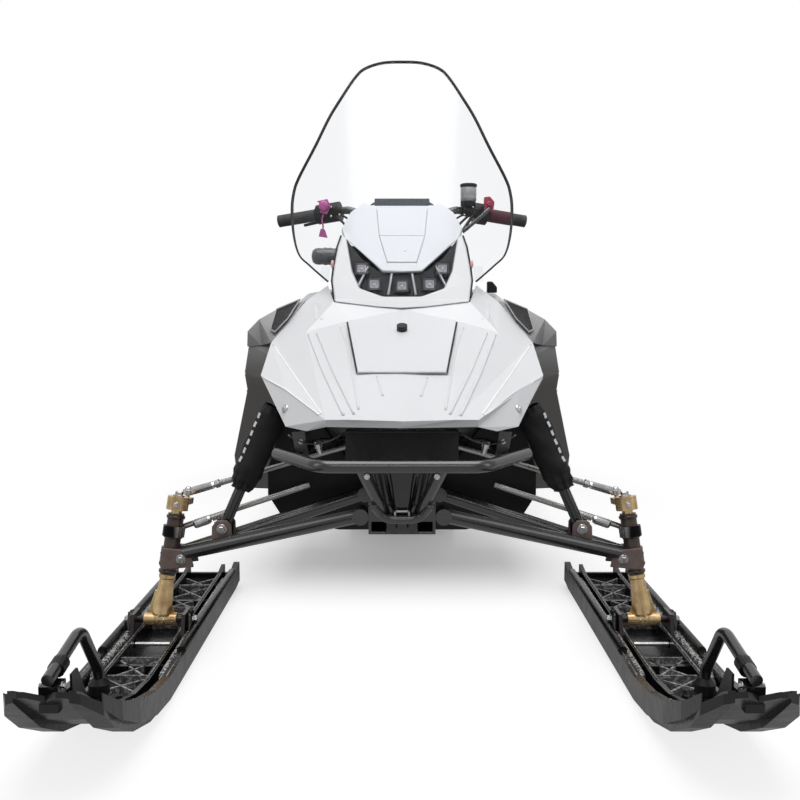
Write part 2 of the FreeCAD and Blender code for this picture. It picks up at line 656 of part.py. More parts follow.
def tower_top():
    """Height just under the hood where the tower's inner corner carries it."""
    corners = at_shares(HOOD_SHARES, (0, -S.lip_y, S.lip_z), (S.hood_half, S.hood_length, S.hood_rise))
    a, b, c = corners["nose"], corners["nose_a"], corners["crease"]
    up = (b - a).cross(c - a).normalize()
    drop = up.x * (float(S.tower_inner) - a.x) + up.y * (float(S.tower_front) - a.y)
    return a.z - drop / up.z - float(S.hood_wall) / up.z - float(S.seat_gap)


def front_frame():
    piece = Piece("frame_body")
    half = S.frame_half
    low = S.frame_low
    wall = S.frame_wall
    section = [(-half, low), (half, low), (half, S.frame_high), (half - wall, S.frame_high),
               (half - wall, low + wall), (-half + wall, low + wall), (-half + wall, S.frame_high),
               (-half, S.frame_high)]
    piece.pad("XZ", section, -S.frame_front, S.frame_front + S.belly_front)
    piece.pad("XZ", rectangle((-half, S.nose_low), (half, S.nose_high)), -S.frame_front, wall)
    eye = S.shock_eye / 2
    for side in (1, -1):
        low_z = S.frame_high - S.tower_deep
        tip_x = (S.tower_outer + eye) * side
        tower = [((half - wall) * side, low_z), (half * side, low_z),
                 (S.tower_outer * side, S.shock_top_z - eye), (tip_x, S.shock_top_z - eye),
                 (tip_x, S.shock_top_z + eye), (S.tower_inner * side, tower_top())]
        piece.pad("XZ", tower, S.tower_front, S.tower_back - S.tower_front)
    piece.pad("XZ", rectangle((-S.tower_inner, S.bearing_low), (S.tower_inner, S.bearing_high)),
              S.tower_front, S.tower_back - S.tower_front)
    piece.pad("XZ", rectangle((-S.bearing_half, S.bearing_low), (S.bearing_half, S.bearing_high)),
              S.tower_front, S.bearing_back - S.tower_front)
    notch = rectangle((-half - wall, S.notch_low), (half + wall, S.frame_high + wall))
    piece.pocket("XZ", notch, S.notch_front, S.belly_front - S.notch_front + S.overrun)
    foot = vec(0, S.post_foot_y, S.post_foot_z)
    bore = rod("post_bore", foot, foot + post_axis() * float(S.frame_high), S.post_tube / 2 + S.pin_clearance)
    return cut("frame_bored", piece.body, bore)


node("front_frame", front_frame())


def belly_section(inset):
    """The belly's outline across the vehicle, moved inwards by one wall for the inside."""
    right = [(S.belly_half, S.belly_low + inset), (S.belly_corner_x - inset, S.belly_corner_z + inset),
             (S.belly_side_x - inset, S.belly_side_z + inset), (S.belly_side_x - inset, S.belly_lip_z)]
    left = [(-x, z) for x, z in right]
    return right, left


def belly_pan():
    """A trough whose front wall rises behind the frame as the engine bay's bulkhead."""
    piece = Piece("belly_pan")
    right, left = belly_section(0)
    inner_right, inner_left = belly_section(S.belly_wall)
    section = left[::-1] + right + inner_right[::-1] + inner_left
    piece.pad("XZ", section, S.belly_front, S.belly_back - S.belly_front)
    closed = left[::-1] + right
    bulkhead = closed + [(S.bulkhead_half, S.bulkhead_top), (-S.bulkhead_half, S.bulkhead_top)]
    piece.pad("XZ", bulkhead, S.belly_front, S.belly_wall)
    piece.pad("XZ", closed, S.belly_back - S.belly_wall, S.belly_wall)
    return piece.body


node("belly_pan", belly_pan())


def engine_block():
    piece = Piece("engine_block")
    floor = S.belly_low + S.belly_wall
    right = [(S.foot_inner, S.engine_low), (S.foot_inner, floor), (S.foot_outer, floor),
             (S.foot_outer, S.engine_low), (S.engine_half, S.engine_low), (S.engine_half, S.engine_high)]
    left = [(-x, z) for x, z in right[::-1]]
    piece.pad("XZ", right + left, S.engine_front, S.engine_back - S.engine_front)
    return piece.body


node("engine_block", engine_block())

# Tunnel, boards and track


def tunnel():
    piece = Piece("tunnel")
    half = S.tunnel_half
    wall = S.sheet_wall
    section = [(-half, S.board_height), (-half + wall, S.board_height), (-half + wall, S.tunnel_top - wall),
               (half - wall, S.tunnel_top - wall), (half - wall, S.board_height), (half, S.board_height),
               (half, S.tunnel_top), (-half, S.tunnel_top)]
    piece.pad("XZ", section, S.belly_back, S.tunnel_back - S.belly_back)
    return piece.body


node("tunnel", tunnel())


def running_board():
    """A board with a rim all round and open windows that let the snow through."""
    piece = Piece("running_board")
    top = S.board_height + S.board_thick
    piece.pad("XZ", rectangle((S.tunnel_half, S.board_height), (S.board_outer, top)),
              S.board_front, S.board_back - S.board_front)
    count = int(float(S.board_windows))
    pitch = (S.board_back - S.board_front - S.board_rim * 2 + S.board_bar) / count
    for k in range(count):
        start = S.board_front + S.board_rim + pitch * k
        piece.pocket("XY", rectangle((S.tunnel_half + S.board_rim, start),
                                     (S.board_outer - S.board_rim, start + pitch - S.board_bar)),
                     S.board_height - S.overrun, S.board_thick + S.overrun * 2)
    return piece.body


both_sides("running_boards", running_board())


def loop_circles(grow):
    """Middles and radii of the four rounds that the track runs over."""
    ground = S.lug_height + S.belt
    return [(float(S.drive_y), float(S.drive_z), float(S.drive_radius) + grow),
            (float(S.nose_y), float(ground + S.nose_radius), float(S.nose_radius) + grow),
            (float(S.idler_y), float(ground + S.idler_radius), float(S.idler_radius) + grow),
            (float(S.carrier_y), float(S.carrier_z), float(S.carrier_radius) + grow)]


def outer_tangent(a, b):
    """Unit normal of the line that touches two circles on their right, going from a to b."""
    dy, dz = b[0] - a[0], b[1] - a[1]
    far = math.hypot(dy, dz)
    lean = math.asin((a[2] - b[2]) / far)
    angle = math.atan2(dz, dy) - math.pi / 2 + lean
    return math.cos(angle), math.sin(angle)


def loop_spans(grow):
    """Straight spans and arcs of the closed loop around the circles, in order."""
    circles = loop_circles(grow)
    spans = []
    for a, b in zip(circles, circles[1:] + circles[:1]):
        ny, nz = outer_tangent(a, b)
        leave = (a[0] + ny * a[2], a[1] + nz * a[2])
        land = (b[0] + ny * b[2], b[1] + nz * b[2])
        spans.append((leave, land, b, (ny, nz)))
    return spans


def loop_wire(grow):
    spans = loop_spans(grow)
    edges = []
    for k, (start, end, circle, normal) in enumerate(spans):
        after = spans[(k + 1) % len(spans)]
        edges.append(Part.LineSegment(vec(0, *start), vec(0, *end)).toShape())
        ny, nz = normal[0] + after[3][0], normal[1] + after[3][1]
        size = math.hypot(ny, nz)
        middle = (circle[0] + ny / size * circle[2], circle[1] + nz / size * circle[2])
        edges.append(Part.Arc(vec(0, *end), vec(0, *middle), vec(0, *after[0])).toShape())
    return Part.Wire(edges)


def track_block(spot, along, across, wide, high):
    """A cross bar or lug standing outwards on the belt."""
    out = along.cross(FreeCAD.Vector(1, 0, 0)).normalize()
    deep = float(S.lug_thick)
    bar = Part.makeBox(float(wide), deep, float(high) + float(S.belt) / 2)
    bar.translate(FreeCAD.Vector(float(across - wide / 2), -deep / 2, 0))
    turn = FreeCAD.Rotation(FreeCAD.Vector(1, 0, 0), out.cross(FreeCAD.Vector(1, 0, 0)), out, "ZXY")
    bar.Placement = FreeCAD.Placement(spot, turn).multiply(bar.Placement)
    return bar


def track():
    """An endless belt with cross bars; rows of one middle lug and of two outer lugs take turns."""
    half = vec(S.track_width / 2, 0, 0)
    belt = Part.Face(loop_wire(float(S.belt))).cut(Part.Face(loop_wire(0)))
    belt.translate(half * -1)
    solid = belt.extrude(half * 2)
    path = loop_wire(float(S.belt) / 2)
    blocks = []
    count = int(float(S.lug_count))
    outer = (S.track_width - S.lug_wide) / 2
    for k in range(count):
        spot, along = place_on(path, path.Length * k / count)
        blocks.append(track_block(spot, along, 0, S.track_width, S.rib_height))
        for across in ([0] if k % 2 else [outer, -outer]):
            blocks.append(track_block(spot, along, across, S.lug_wide, S.lug_height))
    return shape("track", solid.multiFuse(blocks).removeSplitter())


def place_on(path, distance):
    """Place and direction at a distance along a wire."""
    for edge in path.OrderedEdges:
        if distance <= edge.Length:
            value = edge.getParameterByLength(distance)
            if edge.Orientation == "Reversed":
                value = edge.getParameterByLength(edge.Length - distance)
                return edge.valueAt(value), edge.tangentAt(value) * -1
            return edge.valueAt(value), edge.tangentAt(value)
        distance -= edge.Length
    return path.OrderedEdges[0].valueAt(0), path.OrderedEdges[0].tangentAt(0)


node("track", track())


def cross_shaft(name, y, z, half, radius):
    return rod(name, vec(-half, y, z), vec(half, y, z), radius)


def idler_z():
    return S.lug_height + S.belt + S.idler_radius


def bogie_z():
    return S.lug_height + S.belt + S.bogie_radius


def slide_rail():
    piece = Piece("slide_rail")
    floor = S.lug_height + S.belt + S.seat_gap
    high = floor + S.rail_high
    front = S.nose_y - S.nose_radius / 2
    back = S.idler_y - S.idler_radius
    outline = [(S.nose_y, floor), (back, floor), (S.idler_y + S.axle, idler_z() - S.axle),
               (S.idler_y + S.axle, idler_z() + S.axle), (back, high), (S.nose_y, high),
               (front, high + S.rail_high / 2), (front, floor + S.rail_high / 2)]
    piece.pad("YZ", outline, S.rail_x, S.rail_thick)
    bores = [cross_shaft("rail_bore", S.idler_y, idler_z(), S.skid_side, S.axle / 2 + S.pin_clearance)]
    for y in (S.bogie_first_y, S.bogie_second_y):
        bores.append(cross_shaft("bogie_bore", y, bogie_z(), S.skid_side, S.bogie_pin / 2 + S.pin_clearance))
    return cut("rail", piece.body, *bores)


both_sides("slide_rails", slide_rail())


def skid_arms():
    """Two swing arms that hang the slide rails in the tunnel."""
    wall = S.tunnel_half - S.sheet_wall
    top_z = S.board_height + S.skid_tube
    low_z = S.lug_height + S.belt + S.rail_high - S.skid_tube / 2
    places = {"front": (S.front_arm_top_y, S.front_arm_low_y), "rear": (S.rear_arm_top_y, S.rear_arm_low_y)}
    arms = []
    for name, (top_y, low_y) in places.items():
        top = cross_shaft(name + "_top", top_y, top_z, wall, S.skid_tube / 2)
        low = cross_shaft(name + "_low", low_y, low_z, S.rail_x, S.skid_tube / 2)
        sides = [rod(f"{name}_side{k}", vec(x, top_y, top_z), vec(x, low_y, low_z), S.skid_tube / 2)
                 for k, x in enumerate((-S.arm_side_x, S.arm_side_x))]
        arms.append(fuse(name + "_arm", top, low, *sides))
    return together("skid_arms", *arms)


node("skid_arms", skid_arms())


def wheel(name, x, y, z, radius, pin):
    """A wheel with a tread ring, a thin web and a hub, bored for its shaft."""
    far = x + S.wheel_wide
    inset = (S.wheel_wide - S.web) / 2
    disc = rod(name + "_disc", vec(x, y, z), vec(far, y, z), radius - S.seat_gap)
    dishes = []
    for side, start, stop in (("in", x - S.overrun, x + inset), ("out", far - inset, far + S.overrun)):
        dish = rod(f"{name}_dish_{side}", vec(start, y, z), vec(stop, y, z), radius - S.tread_wall)
        core = rod(f"{name}_core_{side}", vec(start, y, z), vec(stop, y, z), S.hub / 2)
        dishes.append(cut(f"{name}_ring_{side}", dish, core))
    hole = rod(name + "_hole", vec(x - S.overrun, y, z), vec(far + S.overrun, y, z),
               pin / 2 + S.pin_clearance)
    return cut(name, disc, hole, *dishes)


wheel_x = S.rail_x + S.rail_thick + S.seat_gap
shaft_half = wheel_x + S.wheel_wide + S.overrun
rear_shaft = cross_shaft("rear_shaft", S.idler_y, idler_z(), shaft_half, S.axle / 2)
top_shaft = cross_shaft("top_shaft", S.carrier_y, S.carrier_z, S.tunnel_half - S.sheet_wall, S.axle / 2)
bogie_pins = [cross_shaft(f"bogie_pin{k}", y, bogie_z(), shaft_half, S.bogie_pin / 2)
              for k, y in enumerate((S.bogie_first_y, S.bogie_second_y))]
node("skid_axles", together("skid_axles", rear_shaft, top_shaft, *bogie_pins))
both_sides("idler_wheels", wheel("idler", wheel_x, S.idler_y, idler_z(), S.idler_radius, S.axle))
both_sides("carrier_wheels", wheel("carrier", wheel_x, S.carrier_y, S.carrier_z, S.carrier_radius, S.axle))
bogies = [wheel(f"bogie{k}", wheel_x, y, bogie_z(), S.bogie_radius, S.bogie_pin)
          for k, y in enumerate((S.bogie_first_y, S.bogie_second_y))]
both_sides("bogie_wheels", together("bogies", *bogies))


def drive_axle():
    shaft = cross_shaft("drive_shaft", S.drive_y, S.drive_z, S.tunnel_half - S.sheet_wall, S.axle / 2)
    rounds = []
    for k, x in enumerate((S.rail_x, -S.rail_x - S.sprocket_wide)):
        near, far = vec(x, S.drive_y, S.drive_z), vec(x + S.sprocket_wide, S.drive_y, S.drive_z)
        rounds.append(rod(f"sprocket{k}", near, far, S.drive_radius - S.seat_gap))
    return fuse("drive_axle", shaft, *rounds)


node("drive_axle", drive_axle())

# Painted bodywork


def with_other_side(corners, faces):
    """Add the mirror image of every corner and ring; corners on the middle plane are shared."""
    both = dict(corners)
    for name, place in corners.items():
        if place.x != 0:
            both[name + "_r"] = FreeCAD.Vector(-place.x, place.y, place.z)
    flipped = [[c + "_r" if c + "_r" in both else c for c in ring[::-1]] for ring in faces]
    return both, faces + flipped


SAME_WAY_SHARE = 0.001


def thick_sheet(corners, faces, wall):
    """A closed shell of flat facets: the outer rings, and the same moved inwards by a wall."""
    triangles = [(ring[0], ring[k], ring[k + 1]) for ring in faces for k in range(1, len(ring) - 1)]
    normals = {name: [] for name in corners}
    for a, b, c in triangles:
        cross = (corners[b] - corners[a]).cross(corners[c] - corners[a]).normalize()
        for name in (a, b, c):
            if all((cross - other).Length > SAME_WAY_SHARE for other in normals[name]):
                normals[name].append(cross)
    inner = {}
    for name, near in normals.items():
        middle = sum(near, FreeCAD.Vector()).normalize()
        spread = sum(middle.dot(one) for one in near) / len(near)
        inner[name] = corners[name] - middle * (float(wall) / spread)
    border = {}
    for a, b, c in triangles:
        for start, end in ((a, b), (b, c), (c, a)):
            if (end, start) in border:
                del border[(end, start)]
            else:
                border[(start, end)] = True
    made = []
    for a, b, c in triangles:
        made.append([corners[a], corners[b], corners[c]])
        made.append([inner[c], inner[b], inner[a]])
    for start, end in border:
        made.append([corners[end], corners[start], inner[start]])
        made.append([corners[end], inner[start], inner[end]])
    flats = [Part.Face(Part.makePolygon(ring + ring[:1])) for ring in made]
    solid = Part.Solid(Part.makeShell(flats))
    if solid.Volume < 0:
        solid.reverse()
    return solid.removeSplitter()


HATCH_SHARES = [(0.297, 0.293), (0.406, 0.684), (-0.406, 0.684), (-0.297, 0.293)]
HATCH_MIDDLE_SHARE = 0.49
KNOB_SHARE = 0.6


def hood_slope_at(y):
    """Height of the hood's middle panel at a place along it."""
    low, high = HOOD_SHARES["nose"], HOOD_SHARES["pod_foot"]
    share = (y - low[1]) / (high[1] - low[1])
    return S.lip_z + S.hood_rise * (low[2] + (high[2] - low[2]) * share)


def hood_point(across, along, lift):
    """A place on the hood's middle panel, lifted above it."""
    return vec(S.hood_half * across, -S.lip_y + S.hood_length * along, hood_slope_at(along) + lift)


def hatch_block(inset, lift, deep):
    """The hatch's outline on the hood, as a slab from a lift upwards."""
    corners = []
    for across, along in HATCH_SHARES:
        place = hood_point(across, along, lift)
        towards = hood_point(0, HATCH_MIDDLE_SHARE, lift) - place
        corners.append(place + towards.normalize() * float(inset))
    face = Part.Face(Part.makePolygon(corners + corners[:1]))
    return face.extrude(vec(0, 0, deep))


def hood():
    corners = at_shares(HOOD_SHARES, (0, -S.lip_y, S.lip_z), (S.hood_half, S.hood_length, S.hood_rise))
    both, faces = with_other_side(corners, HOOD_FACES)
    shell = shape("hood_shell", thick_sheet(both, faces, S.hood_wall))
    hole = shape("hood_hole", hatch_block(S.hatch_frame, -S.hood_wall * 3, S.hood_wall * 6))
    return cut("hood", shell, hole)


node("hood", hood())


def hatch_bead(upwards):
    """The round lower edge on which the lid turns."""
    across, along = HATCH_SHARES[0]
    ends = [hood_point(side, along, S.hatch_gap + S.hatch_thick / 2) for side in (-across, across)]
    return rod("hatch_bead", *ends, S.hatch_thick / 2 * upwards.z)


def hatch():
    plate = shape("hatch_plate", hatch_block(0, S.hatch_gap, S.hatch_thick))
    along = hood_point(0, 1, 0) - hood_point(0, 0, 0)
    upwards = FreeCAD.Vector(1, 0, 0).cross(along).normalize()
    lid = fuse("hatch_solid", plate, hatch_bead(upwards))
    spot = hood_point(0, KNOB_SHARE, S.hatch_gap + S.hatch_thick) + upwards * float(S.seat_gap)
    knob = rod("hatch_knob_top", spot, spot + upwards * float(S.knob_high), S.knob_diameter / 2)
    node("hatch_lid", together("hatch_lid", lid))
    node("hatch_knob", together("hatch_knob", knob))


hatch()

SIDE_SECTION_SHARES = {
    "throat": (0.09, [(0.52, 0.62), (0.56, 0.6), (0.6, 0.57), (0.64, 0.52), (0.7, 0.45), (0.72, 0.38),
                      (0.757, 0.16), (0.757, 0.02)]),
    "front": (0.19, [(0.58, 0.79), (0.735, 0.71), (0.83, 0.685), (0.9, 0.615), (0.93, 0.49), (0.915, 0.42),
                     (1.0, 0.14), (0.98, 0.0)]),
    "middle": (0.5, [(0.36, 0.86), (0.6, 0.83), (0.72, 0.76), (0.86, 0.62), (0.92, 0.48), (0.92, 0.4),
                     (1.0, 0.13), (0.985, 0.0)]),
    "waist": (0.78, [(0.36, 0.8), (0.5, 0.78), (0.61, 0.71), (0.72, 0.59), (0.79, 0.48), (0.83, 0.4),
                     (0.955, 0.12), (0.95, 0.0)]),
    "rear": (1.0, [(0.36, 0.71), (0.41, 0.69), (0.48, 0.63), (0.57, 0.55), (0.65, 0.47), (0.71, 0.38),
                   (0.88, 0.12), (0.9, 0.0)]),
}
VENT_MESH_SHARE = 0.22


def side_corners():
    """Corners of the left side panel, named by section and by their order down it."""
    low = S.board_height + S.board_thick + S.seat_gap
    corners = {}
    for name, (along, outline) in SIDE_SECTION_SHARES.items():
        y = S.side_front + (S.side_back - S.side_front) * along
        for k, (across, up) in enumerate(outline):
            corners[f"{name}{k}"] = vec(S.side_half * across, y, low + S.side_rise * up)
    return corners


def side_panel():
    names = list(SIDE_SECTION_SHARES)
    steps = len(SIDE_SECTION_SHARES["front"][1]) - 1
    faces = [[f"{near}{k}", f"{near}{k + 1}", f"{far}{k + 1}", f"{far}{k}"]
             for near, far in zip(names, names[1:]) for k in range(steps)]
    return shape("side_panel", thick_sheet(side_corners(), faces, S.side_wall))


def side_vent():
    """A slotted plate between the hood's rear edge and the top of the side panel."""
    hood_corners = at_shares(HOOD_SHARES, (0, -S.lip_y, S.lip_z), (S.hood_half, S.hood_length, S.hood_rise))
    panel_corners = side_corners()
    ring = [hood_corners["shoulder"], panel_corners["front1"], panel_corners["front0"],
            hood_corners["back"]]
    middle = sum(ring, FreeCAD.Vector()) / len(ring)
    insets = (S.vent_inset, S.vent_front_inset, S.vent_front_inset, S.vent_inset)
    inset = {f"vent{k}": corner + (middle - corner).normalize() * float(size)
             for k, (corner, size) in enumerate(zip(ring, insets))}
    plate = thick_sheet(inset, [list(inset)], S.vent_thick)
    mesh = [corner + (middle - corner) * VENT_MESH_SHARE for corner in inset.values()]
    plan = [FreeCAD.Vector(corner.x, corner.y, 0) for corner in mesh + mesh[:1]]
    window = Part.Face(Part.makePolygon(plan)).extrude(vec(0, 0, S.lip_z + S.side_rise))
    count = int(float(S.vent_slots))
    pitch = (ring[0].x - ring[3].x) / (count + 1)
    for k in range(count):
        slab = Part.makeBox(float(S.vent_slot), float(S.side_back), float(S.lip_z + S.side_rise))
        slab.translate(FreeCAD.Vector(ring[3].x + pitch * (k + 1), 0, 0))
        plate = plate.cut(window.common(slab))
    return shape("side_vent", plate)


panel = side_panel()
node("side_panel_left", together("side_panel_left", panel))
node("side_panel_right", together("side_panel_right", mirrored("side_flip", panel)))
both_sides("side_vents", side_vent())

POD_SHARES = [(0, 0.0), (0.94, 0.05), (0.985, 0.245), (0.965, 0.385), (0.925, 0.56), (0.87, 0.68)]
OPENING_SHARES = [(0.27, 0.1), (0.6, 0.175), (0.715, 0.335), (0.81, 0.64)]
CHIN_SHARES = [(0.6, 0.463), (0.35, 0.336), (0, 0.33)]
LAMP_SQUARE_SHARES = [(-0.085, -0.05), (0.085, -0.05), (0.085, 0.05), (-0.085, 0.05)]
LAMP_SHARES = [(0.58, 0.36), (0.395, 0.215), (0, 0.2), (-0.395, 0.215), (-0.58, 0.36)]


def pod_place(across, up, back):
    """A place on the lamp pod's leaning front, moved back by a depth."""
    rise = S.pod_rise * up
    return vec(S.pod_half * across, S.pod_foot_y + rise * S.pod_lean + back, S.pod_foot_z + rise)


def pod_slab(name, shares, front, deep):
    ring = [pod_place(u, v, front) for u, v in shares]
    return shape(name, Part.Face(Part.makePolygon(ring + ring[:1])).extrude(vec(0, deep, 0)))


def both_halves(shares):
    return shares + [(-u, v) for u, v in shares[::-1] if u != 0]


def lamp_pod():
    ring = POD_SHARES[1:] + OPENING_SHARES[::-1]
    ring = both_halves(ring)
    return pod_slab("pod_slab", ring, 0, S.pod_depth)


def lamps():
    fit_share = float(S.seat_gap) / float(S.pod_half)
    opening = both_halves([(u - fit_share, v + fit_share) for u, v in OPENING_SHARES[:3]]
                          + [(u - fit_share, v - fit_share) for u, v in OPENING_SHARES[3:]] + CHIN_SHARES)
    node("headlamp_lens", together("headlamp_lens", pod_slab("lens", opening, S.lens_inset, S.lens_thick)))
    back = S.lamp_back_at
    unit = pod_slab("lamp_back", opening, back, S.lamp_back_deep)
    eyes = []
    for k, (u, v) in enumerate(LAMP_SHARES):
        ring = [(u + du, v + dv) for du, dv in LAMP_SQUARE_SHARES]
        eyes.append(pod_slab(f"lamp{k}", ring, back - S.eye_deep / 2, S.eye_deep))
    node("headlamp_unit", fuse("headlamp_unit", unit, *eyes))


node("lamp_pod", together("lamp_pod", lamp_pod()))
lamps()

COWL_SHARES = {
    "top": (0, 0.95, 0.95), "top_a": (0.47, 0.95, 0.95), "top_b": (0.65, 1.0, 1.0),
    "corner": (0.865, 0.85, 0.85), "side": (1.0, 0.6, 0.6), "side_low": (0.935, 0.475, 0.46),
    "chin_a": (0.32, 0.01, 0.01), "chin": (0, 0.0, 0.0),
    "back_b": (0.65, 1.6, 0.93), "back_corner": (0.9, 1.55, 0.7), "back_side": (1.04, 1.35, 0.4),
    "back_low": (0.97, 1.1, 0.2),
}
COWL_FACES = [
    ["chin", "chin_a", "top_a", "top"], ["chin_a", "side_low", "side", "corner", "top_b", "top_a"],
    ["top_b", "corner", "back_corner", "back_b"], ["corner", "side", "back_side", "back_corner"],
    ["side", "side_low", "back_low", "back_side"],
]


def cowl_origin():
    return S.pod_foot_y + S.cowl_back, S.pod_foot_z + S.cowl_up


def cowl():
    y, z = cowl_origin()
    corners = at_shares(COWL_SHARES, (0, y, z), (S.cowl_half, S.cowl_run, S.cowl_run))
    both, faces = with_other_side(corners, COWL_FACES)
    return shape("cowl", thick_sheet(both, faces, S.cowl_thick))


node("cowl", cowl())


def dash():
    piece = Piece("dash")
    y, z = cowl_origin()
    clear = S.cowl_thick * math.sqrt(2) + S.seat_gap
    high = z + S.cowl_run * COWL_SHARES["top"][2]
    outline = [(y + (S.dash_low - z) + clear, S.dash_low), (y + (high - z) + clear, high),
               (y + (high - z) + clear, S.dash_high), (S.dash_back, S.dash_high), (S.dash_back, S.dash_low)]
    piece.pad("YZ", outline, 0, S.dash_half * 2, True)
    return piece.body


node("dash", dash())

SHIELD_SHARES = [
    (0.19, 1.0), (0.352, 0.975), (0.445, 0.931), (0.576, 0.83), (0.683, 0.739), (0.803, 0.611),
    (0.962, 0.467), (0.997, 0.399), (1.0, 0.32), (0.966, 0.206), (0.903, 0.121), (0.8, 0.074),
    (0.7, 0.034), (0.625, 0.0),
    (0.62, 0.05), (0.585, 0.13), (0.545, 0.2), (0.5, 0.215), (0.36, 0.125), (0.205, 0.062), (0.0, 0.058),
]
SLAB_WIDE_SHARE = 1.1


def shield_ring(up, wide, deep):
    """A crescent across the windshield at a height above its foot."""
    y = S.shield_foot_y + S.shield_lean * up
    half = S.shield_half * wide
    z = S.shield_foot_z + up
    sweep = S.shield_sweep * wide * wide
    front = Part.Arc(vec(-half, y + sweep, z), vec(0, y, z), vec(half, y + sweep, z)).toShape()
    back = Part.Arc(vec(half, y + sweep + deep, z), vec(0, y + deep, z),
                    vec(-half, y + sweep + deep, z)).toShape()
    right = Part.LineSegment(vec(half, y + sweep, z), vec(half, y + sweep + deep, z)).toShape()
    left = Part.LineSegment(vec(-half, y + sweep + deep, z), vec(-half, y + sweep, z)).toShape()
    return Part.Wire([front, right, back, left])


def shield_slab(front, deep):
    """A curved sheet wider than the windshield, from which its outline is cut."""
    low = shield_ring(-S.overrun, SLAB_WIDE_SHARE, deep)
    high = shield_ring(S.shield_rise + S.overrun, SLAB_WIDE_SHARE, deep)
    slab = Part.makeLoft([low, high], True, True)
    slab.translate(vec(0, front, 0))
    return slab


def shield_outline():
    return [vec(S.shield_half * u, 0, S.shield_foot_z + S.shield_rise * v)
            for u, v in both_halves(SHIELD_SHARES)]


def shield_prism():
    ring = shield_outline()
    return Part.Face(Part.makePolygon(ring + ring[:1])).extrude(vec(0, S.shield_rise * 2, 0))


shield = shield_slab(0, S.shield_thick).common(shield_prism())
node("windshield", together("windshield", shape("shield", shield)))


def windshield_clip():
    """A clamp on the pod's side that holds the windshield's low corner from behind."""
    low, high = POD_SHARES[2], POD_SHARES[3]
    outer = S.shield_half * SHIELD_SHARES[12][0]
    low_z, high_z = pod_place(0, low[1], 0).z, pod_place(0, high[1], 0).z
    ring = [(S.pod_half * low[0] + S.seat_gap, low_z), (outer, low_z), (outer, high_z),
            (S.pod_half * high[0] + S.seat_gap, high_z)]
    face = Part.Face(Part.makePolygon([vec(x, 0, z) for x, z in ring + ring[:1]]))
    behind = shield_slab(S.shield_thick + S.seat_gap, S.clip_thick)
    return shape("clip", behind.common(face.extrude(vec(0, S.shield_rise, 0))))


both_sides("windshield_clips", windshield_clip())


def windshield_trim():
    """A slim edge bead round the windshield above its lower corners."""
    ring = shield_outline()
    face = Part.Face(Part.makePolygon(ring + ring[:1]))
    around = face.makeOffset2D(float(S.trim_wide)).cut(face.makeOffset2D(float(S.seat_gap)))
    prism = around.extrude(vec(0, S.shield_rise * 2, 0))
    half = float(S.shield_half * 2)
    keep = Part.makeBox(half * 2, float(S.shield_rise * 2), float(S.shield_rise))
    keep.translate(FreeCAD.Vector(-half, 0, float(S.shield_foot_z + S.trim_foot)))
    bead = shield_slab(-S.trim_lap, S.shield_thick + S.trim_lap * 2)
    return shape("windshield_bead", bead.common(prism).common(keep))


node("windshield_trim", together("windshield_trim", windshield_trim()))


def recoil_handle():
    """The pull starter's grip beside the cowl, on the rider's right."""
    stem_end = -S.recoil_x - S.recoil_stem
    stem = rod("recoil_stem",
               vec(-S.recoil_x, S.recoil_y, S.recoil_z), vec(stem_end, S.recoil_y, S.recoil_z),
               S.recoil_diameter / 4)
    grip = rod("recoil_grip", vec(stem_end, S.recoil_y, S.recoil_z),
               vec(stem_end - S.recoil_wide, S.recoil_y, S.recoil_z), S.recoil_diameter / 2)
    return fuse("recoil_solid", stem, grip)


def selector_knob():
    """A wedge-shaped knob on the left side panel's top."""
    piece = Piece("selector_knob")
    x, z = S.selector_x, S.selector_z
    wedge = [(x, z), (x + S.selector_wide, z), (x + S.selector_wide, z + S.selector_high / 2),
             (x + S.selector_wide / 2, z + S.selector_high), (x, z + S.selector_high)]
    piece.pad("XZ", wedge, S.selector_y, S.selector_long)
    return piece.body


node("recoil_handle", recoil_handle())
node("selector_knob", selector_knob())

# Console, seat and tail

CONSOLE_SECTION_SHARES = [(0.0, 0.78), (0.21, 0.98), (0.4, 1.0), (0.7, 0.86), (1.0, 0.72)]
CONSOLE_RING_SHARES = [(1.0, 0.0), (1.0, 0.84), (0.82, 0.95), (0.45, 1.0)]
SEAT_SECTION_SHARES = [
    (0.0, 0.62, 0.95), (0.05, 0.66, 1.0), (0.14, 0.74, 0.94), (0.35, 0.88, 0.84), (0.6, 0.98, 0.85),
    (0.8, 1.0, 0.9), (0.95, 0.98, 0.87), (1.0, 0.9, 0.78),
]
SEAT_RING_SHARES = [(0.9, 0.0), (0.97, 0.3), (1.0, 0.62), (0.95, 0.84), (0.78, 0.95), (0.4, 1.0)]


def lofted(name, front, long, foot, rise, half, sections, ring_shares):
    """A ruled body over sections that each scale one half outline in width and height."""
    wires = []
    for along, wide, high in sections:
        right = [vec(half * wide * u, front + long * along, foot + rise * high * v) for u, v in ring_shares]
        left = [FreeCAD.Vector(-place.x, place.y, place.z) for place in right[::-1]]
        ring = right + left
        wires.append(Part.makePolygon(ring + ring[:1]))
    return shape(name, Part.makeLoft(wires, True, True))


def console():
    half = side_corners()["rear0"].x - float(S.side_wall / 2 + S.seat_gap)
    sections = [(along, 1, high) for along, high in CONSOLE_SECTION_SHARES]
    return lofted("console_solid", S.console_front, S.console_back - S.console_front, S.tunnel_top,
                  S.console_top - S.tunnel_top, half, sections, CONSOLE_RING_SHARES)


node("console", console())


def seat():
    front = S.console_back + S.seat_gap
    return lofted("seat_solid", front, S.seat_back - front, S.tunnel_top + S.seat_gap,
                  S.seat_high - S.tunnel_top, S.seat_half, SEAT_SECTION_SHARES, SEAT_RING_SHARES)


node("seat", seat())


